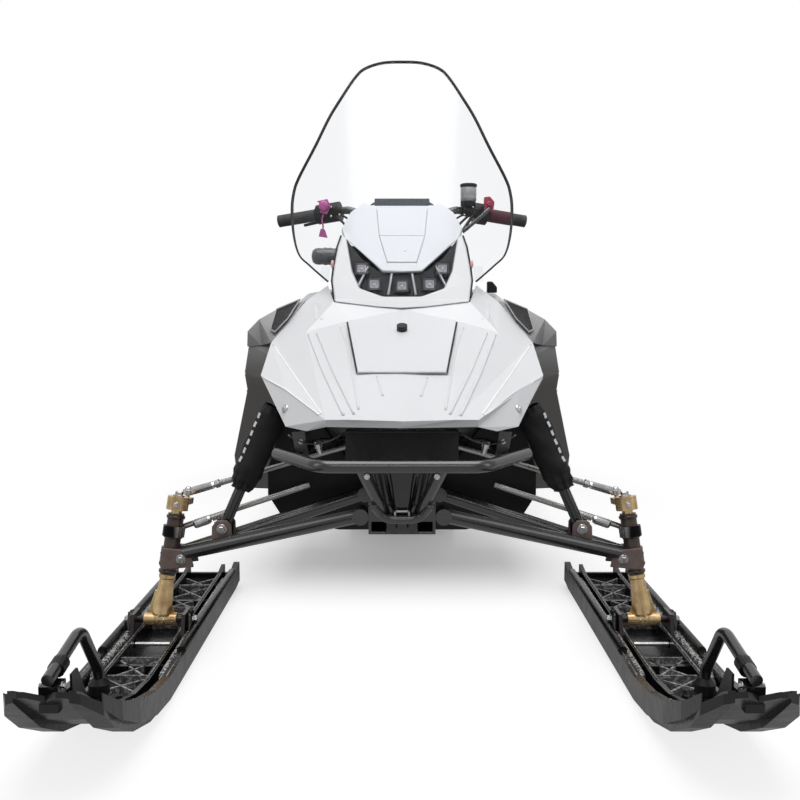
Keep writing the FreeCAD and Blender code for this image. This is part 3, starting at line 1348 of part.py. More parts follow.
def rear_bumper():
    radius = S.rear_tube / 2
    low = S.tunnel_top + radius + S.seat_gap
    right = [(S.rear_half, S.tunnel_back - S.rear_root, low), (S.rear_half, S.tunnel_back, low),
             (S.rear_half, S.rear_reach - radius, S.rear_z)]
    left = [(-x, y, z) for x, y, z in right[::-1]]
    return bent_tube("rear_tube", right + left, radius, S.rear_tube * 2)


node("rear_bumper", together("rear_bumper", rear_bumper()))


def snow_flap():
    piece = Piece("snow_flap")
    piece.pad("XZ", rectangle((-S.tunnel_half, S.flap_low), (S.tunnel_half, S.tunnel_top - S.sheet_wall)),
              S.tunnel_back, S.flap_thick)
    return piece.body


node("snow_flap", snow_flap())


def tail_lamp():
    piece = Piece("tail_lamp")
    piece.pad("XZ", rectangle((-S.hitch_wide, S.tail_low), (S.hitch_wide, S.tail_low + S.tail_high)),
              S.seat_back + S.seat_gap, S.tail_deep)
    return piece.body


node("tail_lamp", tail_lamp())


def hitch():
    piece = Piece("hitch")
    back = S.tunnel_back + S.hitch_long
    half = S.hitch_wide / 2
    piece.pad("XY", rectangle((-half, S.tunnel_back - S.hitch_long), (half, back)),
              S.tunnel_top, S.hitch_plate)
    piece.bore("XY", (0, back - half / 2), S.hitch_pin / 2, S.tunnel_top - S.overrun,
               S.hitch_plate + S.overrun * 2)
    return piece.body


node("hitch", hitch())

# Front bumper, grille and radiator


def front_bumper():
    radius = S.bumper_tube / 2
    right = [(S.bumper_leg_x * 2, -S.bumper_y, S.bumper_z), (S.bumper_half, -S.bumper_end_y, S.bumper_z)]
    left = [(-x, y, z) for x, y, z in right[::-1]]
    bar = bent_tube("bumper_bar", left + right, radius, S.bumper_bend)
    legs = []
    for side in (1, -1):
        top = vec(S.bumper_leg_x * side, -S.bumper_y, S.bumper_z)
        foot = vec(S.bumper_leg_foot_x * side, -S.frame_front - S.bumper_plate, S.bumper_leg_foot_z)
        legs.append(rod(f"bumper_leg{side}", top, foot, radius))
        back = vec(0, S.bumper_plate - S.seat_gap, 0)
        legs.append(rod(f"bumper_pad{side}", foot, foot + back, S.bumper_pad / 2))
    return fuse("front_bumper", bar, *legs)


node("front_bumper", front_bumper())


def radiator_outline():
    return rectangle((-S.radiator_half, S.frame_high), (S.radiator_half, S.frame_high + S.radiator_high))


def radiator():
    piece = Piece("radiator")
    piece.pad("XZ", radiator_outline(), -S.frame_front - S.radiator_deep / 2, S.radiator_deep)
    return piece.body


def grille():
    piece = Piece("grille")
    front = -S.frame_front - S.radiator_deep / 2 - S.vent_thick
    piece.pad("XZ", radiator_outline(), front, S.vent_thick)
    return piece.body


node("radiator", radiator())
node("grille", grille())

# Handlebar and its controls


def handlebar():
    radius = S.bar_tube / 2
    top = vec(0, S.post_top_y, S.post_top_z)
    right = [(S.bar_rise_x, S.post_top_y + S.bar_bend, S.bar_rise_z), (S.bar_half, S.bar_back, S.bar_grip_z)]
    places = [(-x, y, z) for x, y, z in right[::-1]] + [(-S.block_long / 2, S.post_top_y, S.post_top_z),
              (S.block_long / 2, S.post_top_y, S.post_top_z)] + right
    bar = bent_tube("bar_tube", places, radius, S.bar_bend)
    post = rod("post", vec(0, S.post_foot_y, S.post_foot_z), top, S.post_tube / 2)
    foot = vec(0, S.post_foot_y, S.post_foot_z)
    side = vec(S.pitman_wide / 2, 0, 0)
    end = pitman_end()
    ring = [foot - side / 2, foot + side / 2, end + side, end - side]
    plate = Part.Face(Part.makePolygon(ring + ring[:1])).extrude(post_axis() * float(S.pitman_thick))
    return fuse("handlebar", bar, post, shape("pitman", plate))


node("handlebar", handlebar())


def bar_run():
    """Inner and outer end of the left grip's straight run."""
    inner = vec(S.bar_rise_x, S.post_top_y + S.bar_bend, S.bar_rise_z)
    return inner, vec(S.bar_half, S.bar_back, S.bar_grip_z)


def bar_direction():
    """Direction of the left half's straight run, from the post outwards."""
    inner, outer = bar_run()
    return (outer - inner).normalize()


def bar_sleeve(name, start, long, radius):
    """A sleeve on the bar, measured inwards from its outer end."""
    inner, outer = bar_run()
    back = (inner - outer).normalize()
    first = outer + back * float(start)
    tube = rod(name + "_tube", first, first + back * float(long), radius)
    hole = rod(name + "_hole", first - back * float(S.overrun), first + back * float(long + S.overrun),
               S.bar_tube / 2 + S.seat_gap)
    return cut(name, tube, hole)


def on_bar(distance):
    """A place on the left half of the bar, measured inwards from its outer end."""
    inner, outer = bar_run()
    return outer + (inner - outer).normalize() * float(distance)


def brake_unit():
    """Switch housing, master cylinder beside the bar, its reservoir and the lever."""
    start = S.grip_long + S.overrun
    housing = rod("switch", on_bar(start), on_bar(start + S.switch_long), S.switch_diameter / 2)
    start = start + S.switch_long
    ahead = vec(0, -S.cylinder_diameter / 2, 0)
    first, last = on_bar(start - S.overrun), on_bar(start + S.cylinder_long)
    cylinder = rod("cylinder", first + ahead, last + ahead, S.cylinder_diameter / 2)
    gap = rod("cylinder_gap", on_bar(0), on_bar(start + S.cylinder_long + S.reservoir / 2),
              S.bar_tube / 2 + S.seat_gap)
    beside = on_bar((float(S.bar_half) - float(S.reservoir_x)) / abs(bar_direction().x)) + ahead
    low = beside + vec(0, 0, S.reservoir_lift)
    neck = rod("reservoir", low, low + vec(0, 0, S.cylinder_diameter / 2 + S.reservoir_high), S.reservoir / 2)
    knee = on_bar(start) + ahead * 2
    tip = vec(S.brake_tip_x, S.brake_tip_y, S.brake_tip_z)
    lever = rod("brake_lever", knee, tip, S.lever_tube / 2)
    root = rod("brake_root", on_bar(start) + ahead, knee, S.lever_tube)
    return cut("brake_solid", fuse("brake_fused", housing, cylinder, neck, root, lever), gap)


def throttle_block():
    """The block on the right half of the bar with its thumb lever."""
    start = S.grip_long + S.overrun
    block = bar_sleeve("throttle_sleeve", start, S.block_long, S.block_diameter / 2)
    root = on_bar(start + S.overrun) + vec(0, S.block_diameter / 3, -S.block_diameter / 3)
    tip = root + bar_direction() * float(S.throttle_reach) + vec(0, S.block_diameter / 2, 0)
    return fuse("throttle_solid", block, rod("throttle_lever", root, tip, S.lever_tube / 2))


both_sides("grips", bar_sleeve("grip", 0, S.grip_long, S.grip_diameter / 2))
node("brake_unit", brake_unit())
node("throttle_block", together("throttle_block", mirrored("throttle", throttle_block())))

# Check every object and write the sub-parts

doc.recompute()
faulty = [o.Name for o in doc.Objects if "Invalid" in o.State or "Error" in o.State]
if faulty:
    raise RuntimeError(f"failed objects: {faulty}")
for label, thing in NODES.items():
    if thing.Shape.isNull() or not thing.Shape.isValid():
        raise RuntimeError(f"bad shape: {label}")
for label, thing in NODES.items():
    thing.Shape.exportStep(os.path.join("parts", label + ".step"))
print(len(NODES), "sub-parts written")
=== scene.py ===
import bpy
import bmesh
import json
import math
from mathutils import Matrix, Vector
from mathutils.bvhtree import BVHTree


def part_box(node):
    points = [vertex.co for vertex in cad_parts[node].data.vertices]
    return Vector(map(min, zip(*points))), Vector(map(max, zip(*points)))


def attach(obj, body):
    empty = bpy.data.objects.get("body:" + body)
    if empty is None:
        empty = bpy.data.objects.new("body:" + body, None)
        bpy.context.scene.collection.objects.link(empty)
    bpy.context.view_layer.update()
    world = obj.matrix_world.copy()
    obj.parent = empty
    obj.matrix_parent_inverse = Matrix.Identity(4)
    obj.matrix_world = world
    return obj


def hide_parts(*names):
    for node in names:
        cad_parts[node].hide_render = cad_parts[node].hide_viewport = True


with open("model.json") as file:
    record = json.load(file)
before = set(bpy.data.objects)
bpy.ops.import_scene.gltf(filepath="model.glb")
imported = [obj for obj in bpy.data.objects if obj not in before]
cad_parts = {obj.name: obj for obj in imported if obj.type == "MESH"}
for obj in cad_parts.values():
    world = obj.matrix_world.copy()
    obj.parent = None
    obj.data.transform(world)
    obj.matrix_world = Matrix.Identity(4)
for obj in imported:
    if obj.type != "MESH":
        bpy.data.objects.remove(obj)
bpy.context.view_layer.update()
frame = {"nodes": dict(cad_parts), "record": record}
NODES = frame["nodes"]

# Places are in millimetres with y counted rearwards from the ski bolts, as the sub-parts are drawn. So are the sizes
# that a kit takes. Vectors are in metres.
SHIFT_Y = -865
SIDES = (-1, 1)
LEFT, FRONT, REAR, UP = Vector((1, 0, 0)), Vector((0, -1, 0)), Vector((0, 1, 0)), Vector((0, 0, 1))
EVEN = (1, 1, 1)
CORNERS = ((-1, -1), (1, -1), (1, 1), (-1, 1))
BLACK, WHITE = (0, 0, 0), (1, 1, 1)


def at(x, y, z):
    return Vector((x / 1000, (y + SHIFT_Y) / 1000, z / 1000))


def line(*places):
    return [at(*place) for place in places]


def offset(x, y, z):
    return Vector((x / 1000, y / 1000, z / 1000))


def lerp(a, b, share):
    return a + (b - a) * share


def circle(centre, a, b, radius, count):
    """Places round a centre, from two directions across the axis and a radius in millimetres."""
    turns = [2 * math.pi * k / count for k in range(count)]
    reach = radius / 1000
    return [centre + a * (reach * math.cos(turn)) + b * (reach * math.sin(turn)) for turn in turns]


def modify(thing, kind, **settings):
    modifier = thing.modifiers.new(kind.lower(), kind)
    for key, value in settings.items():
        setattr(modifier, key, value)
    return modifier


def round_edges(thing, width, segments=2, angle=35):
    return modify(thing, "BEVEL", width=width / 1000, segments=segments, limit_method="ANGLE",
                  angle_limit=math.radians(angle))


# Materials


def add(tree, kind, inputs=None, **settings):
    """A new node: its settings first, then its inputs, each a value or another node's socket."""
    node = tree.nodes.new(kind)
    for key, value in settings.items():
        setattr(node, key, value)
    for key, value in (inputs or {}).items():
        if isinstance(value, bpy.types.NodeSocket):
            tree.links.new(value, node.inputs[key])
        else:
            node.inputs[key].default_value = value
    return node


def calculate(tree, operation, *values):
    return add(tree, "ShaderNodeMath", dict(enumerate(values)), operation=operation).outputs[0]


def spread(tree, value, source, target=(0, 1), kind="SMOOTHSTEP"):
    """A value taken from one range to another."""
    inputs = {"Value": value, "From Min": source[0], "From Max": source[1], "To Min": target[0], "To Max": target[1]}
    return add(tree, "ShaderNodeMapRange", inputs, interpolation_type=kind).outputs[0]


class Paint:
    """Builds one principled material from a few procedural layers."""

    def __init__(self, name, color, rough, metallic=0, coat=0, coat_rough=0.04, specular=0.5):
        self.mat = bpy.data.materials.new(name)
        self.mat.use_nodes = True
        self.tree = self.mat.node_tree
        self.shader = self.tree.nodes["Principled BSDF"]
        self.rough = rough
        self.color = self.tone = (*color, 1)
        self.normal = None
        for key, value in (("Base Color", self.color), ("Roughness", rough), ("Metallic", metallic),
                           ("Coat Weight", coat), ("Coat Roughness", coat_rough), ("Specular IOR Level", specular)):
            self.shader.inputs[key].default_value = value
        self.coords = self.add("ShaderNodeTexCoord").outputs["Object"]

    def add(self, kind, inputs=None, **settings):
        return add(self.tree, kind, inputs, **settings)

    def feed(self, name, socket):
        self.tree.links.new(socket, self.shader.inputs[name])

    def tint(self, socket):
        self.tone = socket
        self.feed("Base Color", socket)

    def position(self, scale=EVEN):
        return self.add("ShaderNodeMapping", {"Vector": self.coords, "Scale": scale}).outputs[0]

    def split(self):
        return self.add("ShaderNodeSeparateXYZ", {0: self.coords}).outputs

    def noise(self, scale, detail=3, rough=0.6, stretch=EVEN):
        inputs = {"Vector": self.position(stretch), "Scale": scale, "Detail": detail, "Roughness": rough}
        return self.add("ShaderNodeTexNoise", inputs).outputs["Fac"]

    def ramp(self, value, *stops):
        node = self.add("ShaderNodeValToRGB", {"Fac": value})
        for element, (place, color) in zip(node.color_ramp.elements, stops):
            element.position = place
            element.color = (*color, 1)
        return node.outputs[0]

    def mix(self, factor, a, b):
        """From a to b, each a colour or a socket."""
        first, second = (c if isinstance(c, bpy.types.NodeSocket) else (*c[:3], 1) for c in (a, b))
        return self.add("ShaderNodeMix", {0: factor, 6: first, 7: second}, data_type="RGBA").outputs[2]

    def vary(self, amount, scale, dark=None):
        """Slow change of tone over the surface."""
        low = dark or [c * (1 - amount) for c in self.color[:3]]
        high = [min(1, c * (1 + amount)) for c in self.color[:3]]
        self.tint(self.mix(self.ramp(self.noise(scale, 4, 0.55), (0.3, BLACK), (0.7, WHITE)), low, high))

    def specks(self, color, scale, low, high, strength=1):
        """Small marks where a fine noise is high."""
        mask = self.ramp(self.noise(scale), (low, BLACK), (high, (strength,) * 3))
        self.tint(self.mix(mask, self.tone, color))

    def worn(self, color, amount):
        """Lighter edges, from the mesh's own convex corners."""
        corners = self.add("ShaderNodeNewGeometry").outputs["Pointiness"]
        self.tint(self.mix(self.ramp(corners, (0.55, BLACK), (0.63, (amount,) * 3)), self.tone, color))

    def fade(self, axis, low, high, color):
        """Blend towards another colour along one axis of the object, in metres."""
        self.tint(self.mix(spread(self.tree, self.split()[axis], (low, high)), self.tone, color))

    def ends(self, low, high, color):
        """Another colour beyond a distance from the middle plane, in metres."""
        size = calculate(self.tree, "ABSOLUTE", self.split()[0])
        self.tint(self.mix(spread(self.tree, size, (low, high), kind="LINEAR"), self.tone, color))

    def uneven(self, amount, scale, detail=3, stretch=EVEN):
        """Roughness that changes over the surface."""
        target = (max(0.02, self.rough - amount), min(1, self.rough + amount))
        value = self.noise(scale, detail, stretch=stretch)
        self.feed("Roughness", spread(self.tree, value, (0, 1), target, "LINEAR"))

    def bump(self, height, strength, distance):
        inputs = {"Strength": strength, "Distance": distance, "Height": height}
        if self.normal:
            inputs["Normal"] = self.normal
        self.normal = self.add("ShaderNodeBump", inputs).outputs[0]
        self.feed("Normal", self.normal)

    def grain(self, scale, strength, distance=0.0004, stretch=EVEN):
        self.bump(self.noise(scale, stretch=stretch), strength, distance)

    coarse = grain

    def weave(self, pitch, strength):
        """Crossed threads."""
        threads = [self.add("ShaderNodeTexWave", {"Vector": self.position(stretch), "Scale": 1 / pitch,
                                                  "Distortion": 0.6, "Detail": 1},
                            bands_direction="DIAGONAL").outputs["Fac"] for stretch in ((1, 0.15, 1), (0.15, 1, 1))]
        self.bump(calculate(self.tree, "MAXIMUM", *threads), strength, 0.0003)

    def surface(self, socket):
        self.tree.links.new(socket, self.tree.nodes["Material Output"].inputs["Surface"])


M = {}
# Looks that have another name than their slot
SLOT_LOOKS = {"white_panel": "white_paint", "grey_panel": "grey_paint", "ski_plastic": "ski_composite",
              "black_frame": "black_powder_coat", "brown_frame": "dark_brown_coat", "gold_metal": "gold_anodised",
              "bright_steel": "zinc_plate", "tunnel_metal": "bare_sheet", "cast_block": "cast_grey",
              "cover_fabric": "cover_cloth", "lamp_inside": "lamp_body", "clear_shield": "clear_sheet",
              "clear_lens": "clear_cover"}


def look_of(slot):
    return M[SLOT_LOOKS.get(slot, slot)]


def finish(name, color, rough, metallic=0, coat=0, coat_rough=0.04, specular=0.5, **layers):
    """Makes and keeps one material. A layer is named after its method and gives that method's values, in order."""
    paint = Paint(name, color, rough, metallic, coat, coat_rough, specular)
    for layer, values in layers.items():
        getattr(paint, layer)(*values)
    M[name] = paint.mat
    return paint


# Name, colour, roughness, then metallic, coat, coat roughness and specular as far as they differ from a plain
# plastic's, then what vary, uneven, grain and worn take
LOOKS = (
    ("white_paint", (0.71, 0.72, 0.74), 0.36, (0, 0.35, 0.22), (0.03, 3), (0.05, 14), (70, 0.02, 0.0006)),
    ("black_plastic", (0.009, 0.009, 0.010), 0.42, (0, 0, 0.04, 0.3), (0.35, 14), (0.12, 40), (380, 0.12),
     ((0.05, 0.05, 0.053), 0.4)),
    ("black_powder_coat", (0.009, 0.009, 0.010), 0.27, (0, 0.5, 0.2, 0.9), (0.3, 20), (0.08, 60),
     (420, 0.10, 0.0003), ((0.06, 0.06, 0.062), 0.4)),
    ("dark_brown_coat", (0.020, 0.011, 0.009), 0.30, (0, 0.3, 0.12), (0.25, 30), (0.08, 60), (400, 0.08, 0.0003),
     ((0.12, 0.08, 0.065), 0.5)),
    ("mocha_coat", (0.180, 0.130, 0.115), 0.40, (0, 0, 0.04, 0.45), (0.18, 40), (0.08, 60), (420, 0.10, 0.0003),
     ((0.25, 0.20, 0.18), 0.5)),
    ("gold_anodised", (0.84, 0.62, 0.34), 0.27, (0.75,), (0.22, 24, (0.52, 0.33, 0.15)), (0.12, 50),
     (300, 0.06, 0.0003)),
    ("zinc_plate", (0.60, 0.60, 0.61), 0.26, (1,), (0.2, 40), (0.08, 60), (300, 0.03, 0.0002)),
    ("bare_sheet", (0.55, 0.56, 0.58), 0.38, (0.9,), (0.1, 5), (0.12, 12, 3, (1, 0.05, 1)),
     (600, 0.12, 0.0003, (1, 0.04, 1))),
    ("cast_grey", (0.12, 0.12, 0.125), 0.6, (0.5,), (0.3, 18), (0.1, 50), (500, 0.5, 0.0008)),
    ("track_rubber", (0.018, 0.018, 0.018), 0.7, (), (0.4, 25), (0.12, 40), (700, 0.5, 0.0006),
     ((0.06, 0.058, 0.055), 0.5)),
    ("slide_plastic", (0.035, 0.035, 0.036), 0.5, (), (0.3, 20), (0.1, 60), (900, 0.2, 0.0003),
     ((0.12, 0.12, 0.12), 0.4)),
    ("lamp_body", (0.010, 0.009, 0.011), 0.28, (0, 0, 0.04, 0.16), (0.3, 30), (0.1, 60), (300, 0.05, 0.0002)),
    ("red_lens", (0.42, 0.012, 0.012), 0.16, (0, 0.8), (0.2, 40), (0.05, 80), (160, 0.35, 0.0008)),
    ("flap_rubber", (0.024, 0.024, 0.024), 0.66, (), (0.3, 12), (0.1, 40), (500, 0.4, 0.0005)),
    ("gloss_black", (0.012, 0.012, 0.013), 0.16, (0, 0.5, 0.06), (0.3, 12), (0.06, 30), (500, 0.05, 0.0003)),
    ("wire_coat", (0.035, 0.035, 0.037), 0.4, (0, 0, 0.04, 0.4), (0.3, 40), (0.1, 60)),
    ("gauge_glass", (0.016, 0.018, 0.022), 0.08, (0, 1, 0.02), (0.3, 20), (0.02, 30)),
    ("dash_blue", (0.006, 0.024, 0.050), 0.34, (0, 0, 0.04, 0.15), (0.3, 20), (0.08, 40), (300, 0.06, 0.0003)),
    ("handle_grey", (0.11, 0.11, 0.115), 0.28, (0, 0.4), (0.3, 40), (0.08, 60), (300, 0.08, 0.0003)),
    ("frosted_cup", (0.42, 0.42, 0.43), 0.4, (0, 0.4), (0.15, 60), (0.08, 60), (300, 0.08, 0.0003)),
    ("lamp_bezel", (0.045, 0.043, 0.046), 0.26, (0, 0, 0.04, 0.3), (0.3, 60), (0.08, 90), (300, 0.05, 0.0002)),
    ("lamp_fin", (0.62, 0.62, 0.64), 0.2, (0.5,), (0.15, 60), (0.08, 90), (300, 0.05, 0.0002)),
)
for name, color, rough, shine, *values in LOOKS:
    finish(name, color, rough, *shine, **dict(zip(("vary", "uneven", "grain", "worn"), values)))
finish("grey_paint", (0.36, 0.36, 0.365), 0.36, coat=0.4, coat_rough=0.12, vary=(0.08, 4),
       fade=(2, 0.77, 0.56, (0.048, 0.043, 0.040)), uneven=(0.08, 24), grain=(160, 0.03))
finish("ski_composite", (0.006, 0.006, 0.007), 0.26, vary=(0.5, 12),
       specks=((0.05, 0.05, 0.052), 150, 0.62, 0.74, 0.4), uneven=(0.12, 30, 5), coarse=(46, 0.28, 0.003),
       grain=(190, 0.22, 0.0010))
finish("rod_steel", (0.42, 0.42, 0.42), 0.28, metallic=1, vary=(0.12, 14, (0.34, 0.32, 0.29)), uneven=(0.05, 60),
       ends=(0.496, 0.508, (0.012, 0.012, 0.013)))
finish("seat_vinyl", (0.014, 0.014, 0.015), 0.48, specular=0.35, vary=(0.3, 10), uneven=(0.1, 30),
       grain=(420, 0.35, 0.0006), coarse=(90, 0.12, 0.0012))
finish("cover_cloth", (0.012, 0.012, 0.013), 0.62, specular=0.3, vary=(0.35, 22), uneven=(0.12, 60),
       weave=(0.0022, 0.3), grain=(60, 0.25, 0.002))
# Whiter than the hood's own paint: painted highlight, for the lines along the hood's creases
finish("crease_highlight_white", (0.92, 0.92, 0.93), 0.22, coat=0.5, vary=(0.03, 20), grain=(500, 0.06, 0.0002))
finish("seam_shadow", (0.36, 0.365, 0.38), 0.6, vary=(0.2, 30), grain=(600, 0.1))
finish("lamp_crystal", (0.20, 0.17, 0.19), 0.10, coat=0.6, vary=(0.25, 120), grain=(260, 0.3, 0.0006))
finish("lamp_diode", (0.60, 0.58, 0.62), 0.2, vary=(0.06, 90), grain=(400, 0.1))
# Dark grey with light specks: painted mottled highlight, for the ski's braces and the thin lines along its rails
finish("ski_painted_glints", (0.10, 0.10, 0.103), 0.3, specular=0.6, vary=(0.5, 40),
       specks=((0.42, 0.42, 0.43), 120, 0.5, 0.6, 0.8), uneven=(0.1, 40), grain=(190, 0.3, 0.001))
# Near black with light specks all over: painted highlight on the round beads
finish("ski_bead", (0.012, 0.012, 0.013), 0.22, specular=0.8, specks=((0.62, 0.62, 0.63), 210, 0.46, 0.56, 0.7),
       uneven=(0.1, 40), grain=(120, 0.4, 0.002))
finish("vent_paint", (0.36, 0.36, 0.37), 0.34, coat=0.5, coat_rough=0.1, vary=(0.2, 9),
       fade=(2, 0.76, 0.68, (0.20, 0.20, 0.205)), uneven=(0.06, 20))
for name, color, rough, specular in (("grip_rubber", (0.055, 0.055, 0.057), 0.6, 0.35),
                                     ("tint_rubber", (0.085, 0.008, 0.022), 0.45, 0.4)):
    finish(name, color, rough, specular=specular, vary=(0.3, 40), uneven=(0.1, 90), grain=(500, 0.3, 0.0005))
for name, color, change in (("pink_plastic", (0.55, 0.12, 0.36), 0.15), ("clip_pink", (0.80, 0.42, 0.44), 0.1),
                            ("red_plastic", (0.45, 0.03, 0.08), 0.15)):
    finish(name, color, 0.35, coat=0.3, vary=(change, 60), uneven=(0.08, 90), grain=(400, 0.1, 0.0003))

comb = finish("honeycomb", (0.006, 0.006, 0.007), 0.4, specular=0.4)
cells = comb.add("ShaderNodeTexVoronoi", {"Vector": comb.position((1, 0.6, 1.15)), "Scale": 190, "Randomness": 0},
                 feature="DISTANCE_TO_EDGE")
walls = comb.ramp(cells.outputs["Distance"], (0.04, WHITE), (0.14, BLACK))
comb.tint(comb.mix(walls, (0.003, 0.003, 0.003), (0.045, 0.045, 0.048)))
comb.bump(walls, 0.8, 0.002)
comb.uneven(0.1, 40)


def clear(name, rough, color, shine=1):
    """A thin clear sheet: mostly see-through, with a gloss on its front faces."""
    paint = finish(name, color, rough)
    tree = paint.tree
    fresnel = add(tree, "ShaderNodeFresnel", {"IOR": 1.45}).outputs[0]
    front = calculate(tree, "SUBTRACT", 1, add(tree, "ShaderNodeNewGeometry").outputs["Backfacing"])
    share = calculate(tree, "MULTIPLY", calculate(tree, "MULTIPLY", fresnel, front), shine)
    haze = spread(tree, paint.noise(9), (0, 1), (rough, rough + 0.02), "LINEAR")
    see = add(tree, "ShaderNodeBsdfTransparent", {"Color": (*color, 1)}).outputs[0]
    gloss = add(tree, "ShaderNodeBsdfGlossy", {"Roughness": haze}).outputs[0]
    paint.surface(add(tree, "ShaderNodeMixShader", {0: share, 1: see, 2: gloss}).outputs[0])
    tree.nodes.remove(paint.shader)


clear("clear_sheet", 0.17, (0.965, 0.972, 0.98))
clear("clear_cover", 0.02, (0.93, 0.94, 0.95), 0.18)

FINISHES = {entry["node"]: entry["material_slot"] for entry in frame["record"]["subparts"]}
FINISHES.update({"shocks": "gloss_black", "ski_saddle_left": "brown_frame", "ski_saddle_right": "brown_frame",
                 "radius_rods": "rod_steel", "windshield_clips": "clear_shield", "dash": "dash_blue",
                 "recoil_handle": "handle_grey", "tie_rod_left": "rod_steel", "tie_rod_right": "rod_steel"})
for label, thing in NODES.items():
    if not thing.material_slots:
        thing.data.materials.append(look_of(FINISHES[label]))
    for slot in thing.material_slots:
        slot.material = look_of(FINISHES[label])

# Rounded creases on the faceted solids, for the render only: widths in millimetres
SOFT_EDGES = {"hood": 5, "cowl": 4, "lamp_pod": 4, "side_panel_left": 6, "side_panel_right": 6, "hatch_lid": 1.2,
              "console": 8, "belly_pan": 2.5, "dash": 3, "front_frame": 1.5, "tail_lamp": 4, "ski_left": 2,
              "ski_right": 2, "selector_knob": 3, "throttle_block": 2, "brake_unit": 2, "snow_flap": 1.5, "tunnel": 1}
for label, width in SOFT_EDGES.items():
    modify(NODES[label], "WELD", merge_threshold=0.00002)
    round_edges(NODES[label], width, segments=3, angle=7)

# Helpers that build pieces


def across(axis):
    """Two directions across an axis."""
    axis = axis.normalized()
    side = axis.cross(UP)
    if side.length < 1e-3:
        side = axis.cross(LEFT)
    side.normalize()
    return side, axis.cross(side).normalized()


def tree_from(mesh):
    return BVHTree.FromPolygons([v.co.copy() for v in mesh.vertices], [list(p.vertices) for p in mesh.polygons])


TREES = {}


def meet(label, start, way):
    """Place and outward normal where a ray meets a node."""
    if label not in TREES:
        TREES[label] = tree_from(NODES[label].data)
    place, normal, _, _ = TREES[label].ray_cast(start, way)
    if place is None:
        raise RuntimeError(f"nothing of {label} from {start}")
    return place, normal if normal.dot(way) < 0 else -normal


def drop(label, x, y):
    return meet(label, at(x, y, 2000), -UP)


def beside(label, y, z):
    return meet(label, at(1500, y, z), -LEFT)


def curve_through(points, steps):
    """A smooth run through places, by Catmull and Rom's rule."""
    ends = [points[0]] + points + [points[-1]]
    places = []
    for a, b, c, d in zip(ends, ends[1:], ends[2:], ends[3:]):
        for t in (k / steps for k in range(steps)):
            places.append(b + (c - a) * (t / 2) + (a - b * 2.5 + c * 2 - d / 2) * t * t
                          + ((b - c) * 1.5 + (d - a) / 2) * t ** 3)
    return places + [points[-1]]


